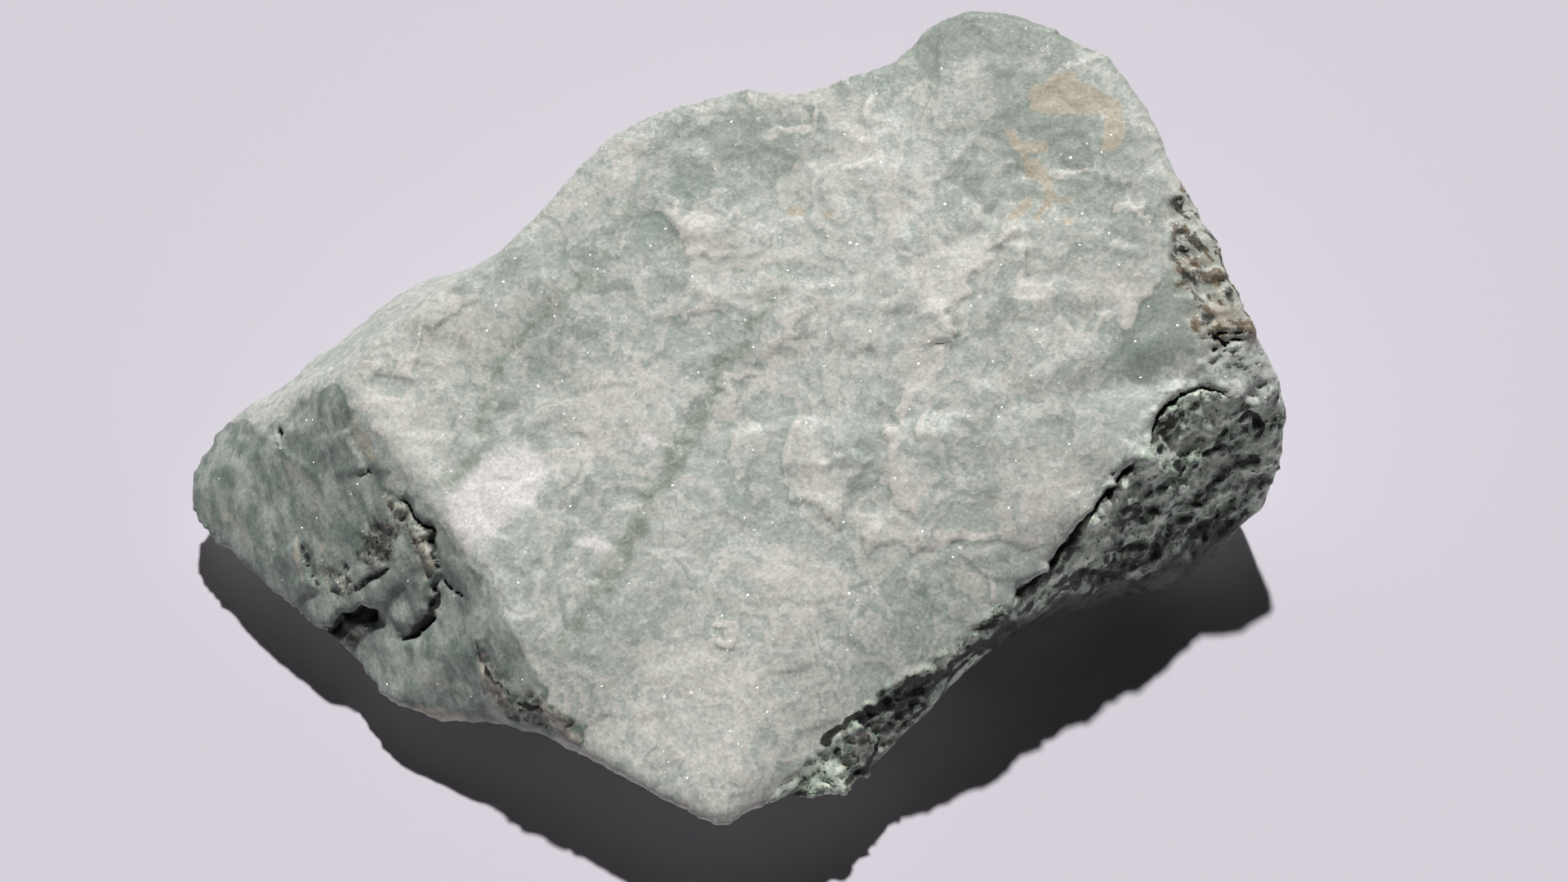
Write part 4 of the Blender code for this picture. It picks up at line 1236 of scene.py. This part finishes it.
def stone_colours(graph):
    """The colours of the whole stone, laid over one another."""
    colour = graph.tinted(sheet_colours(graph, graph.tinted(BASE_COOL, BASE_TINTS)), CURD_TINTS)
    colour = graph.coated(colour, DEEP_GREEN, *GREEN_WASH)
    colour = graph.coated(colour, DEEP_GREEN, *GREEN_PATCHES)
    colour = lip_colours(graph, graph.coated(colour, CREAM, *CREAM_COAT))
    colour = graph.coated(colour, WHITE, *WHITE_COAT)
    colour = graph.coated(colour, graph.tinted(CRUST_DEEP, CRUST_TINTS), *CRUST_COAT)
    colour = graph.laid(colour, VEIN, "vein", graph.span("flecks", *VEIN_SPAN))
    colour = graph.coated(colour, graph.tinted(LEFT_DEEP, LEFT_TINTS), *LEFT_COAT)
    # The dark side, with painted shade between its grains and partly painted sunlight on its pale crumbs
    colour = graph.coated(colour, dark_colours(graph), *DARK_COAT)
    colour = graph.coated(colour, graph.tinted(GREEN, RUBBLE_TINTS), *RUBBLE_COAT)
    colour = graph.coated(colour, graph.tinted(LEFT_DEEP, CRUMB_TINTS), *CRUMB_COAT)
    # Pale lines, partly painted light on sunlit edges
    colour = graph.coated(colour, graph.mix("dark_side", SPLINTER, SIDE_PALE), *PALE_COAT)
    # Last, near black: painted shade in cracks, creases and the cavity, and dark specks
    return graph.coated(stain_colours(graph, colour), SPECKS_AND_CREVICE_SHADE, *SPECKS_AND_CREVICE_SHADE_COAT)


def glint_normal(graph):
    """The skin's direction, tilted by a different amount for each grain."""
    tilt = graph.vector("SUBTRACT", graph.cells(GLINT_SIZE)["Color"], (0.5, 0.5, 0.5))
    tilt = graph.vector("MULTIPLY", tilt, (GLINT_TILT,) * 3)
    tilted = graph.vector("ADD", tilt, graph.node("NewGeometry").outputs["Normal"])
    return graph.vector("NORMALIZE", tilted)


def stone_material():
    """Pale green quartzite with its stains."""
    material = bpy.data.materials.new("quartzite_finish")
    graph = Graph(material)
    grains = graph.cells(GRAIN_SIZE)
    shade = graph.times(graph.span(grains["Color"], *GRAIN_SHADES), graph.span("fine", *FINE_SHADES))
    height = graph.math("ADD", grains["Distance"], "flecks")
    bump = graph.node("Bump", {"Strength": BUMP_STRENGTH, "Distance": BUMP_DISTANCE, "Height": height})
    values = {
        "Base Color": graph.mix(1.0, stone_colours(graph), shade, "MULTIPLY"),
        "Roughness": graph.span("fine", *ROUGHNESS),
        "Coat Weight": COAT_WEIGHT,
        "Coat Roughness": COAT_ROUGHNESS,
        "Normal": bump.outputs["Normal"],
        "Coat Normal": glint_normal(graph),
    }
    for name, value in values.items():
        graph.feed(graph.shader.inputs[name], value)
    return material


def make_floor():
    """A plain pale floor."""
    corners = [(across * FLOOR_HALF, away * FLOOR_HALF, 0) for across, away in FLOOR_CORNERS]
    mesh = bpy.data.meshes.new("floor")
    mesh.from_pydata(corners, [], [(0, 1, 2, 3)])
    floor = bpy.data.objects.new("floor", mesh)
    bpy.context.scene.collection.objects.link(floor)
    material = bpy.data.materials.new("paper")
    material.use_nodes = True
    shader = material.node_tree.nodes["Principled BSDF"]
    shader.inputs["Base Color"].default_value = PAPER
    shader.inputs["Roughness"].default_value = PAPER_ROUGHNESS
    mesh.materials.append(material)


def make_camera():
    """The photograph's view."""
    camera = bpy.data.cameras.new("camera")
    camera.lens = LENS
    camera.sensor_width = SENSOR
    camera.clip_start = VIEW_START
    holder = bpy.data.objects.new("camera", camera)
    target = np.array([0.0, 0.0, VIEW_TARGET_HEIGHT]) - CAGE_MIDDLE
    holder.location = (target + view_axes()[2] * VIEW_DISTANCE) * MM
    holder.rotation_euler = (np.pi / 2 - VIEW_TILT, 0.0, 0.0)
    bpy.context.scene.collection.objects.link(holder)
    bpy.context.scene.camera = holder


def make_lights():
    """A key light high behind the rock, and soft light all round."""
    sun = bpy.data.lights.new("key", "SUN")
    sun.energy = SUN_STRENGTH
    sun.angle = np.radians(SUN_WIDTH)
    holder = bpy.data.objects.new("key", sun)
    holder.rotation_euler = (-np.radians(90.0 - SUN_HEIGHT), 0.0, 0.0)
    bpy.context.scene.collection.objects.link(holder)
    world = bpy.data.worlds.new("studio")
    world.use_nodes = True
    background = world.node_tree.nodes["Background"]
    background.inputs["Color"].default_value = STUDIO_COLOUR
    background.inputs["Strength"].default_value = STUDIO_STRENGTH
    bpy.context.scene.world = world


make_camera()
make_lights()
make_floor()
make_rock()
bpy.context.scene.view_settings.view_transform = "Standard"
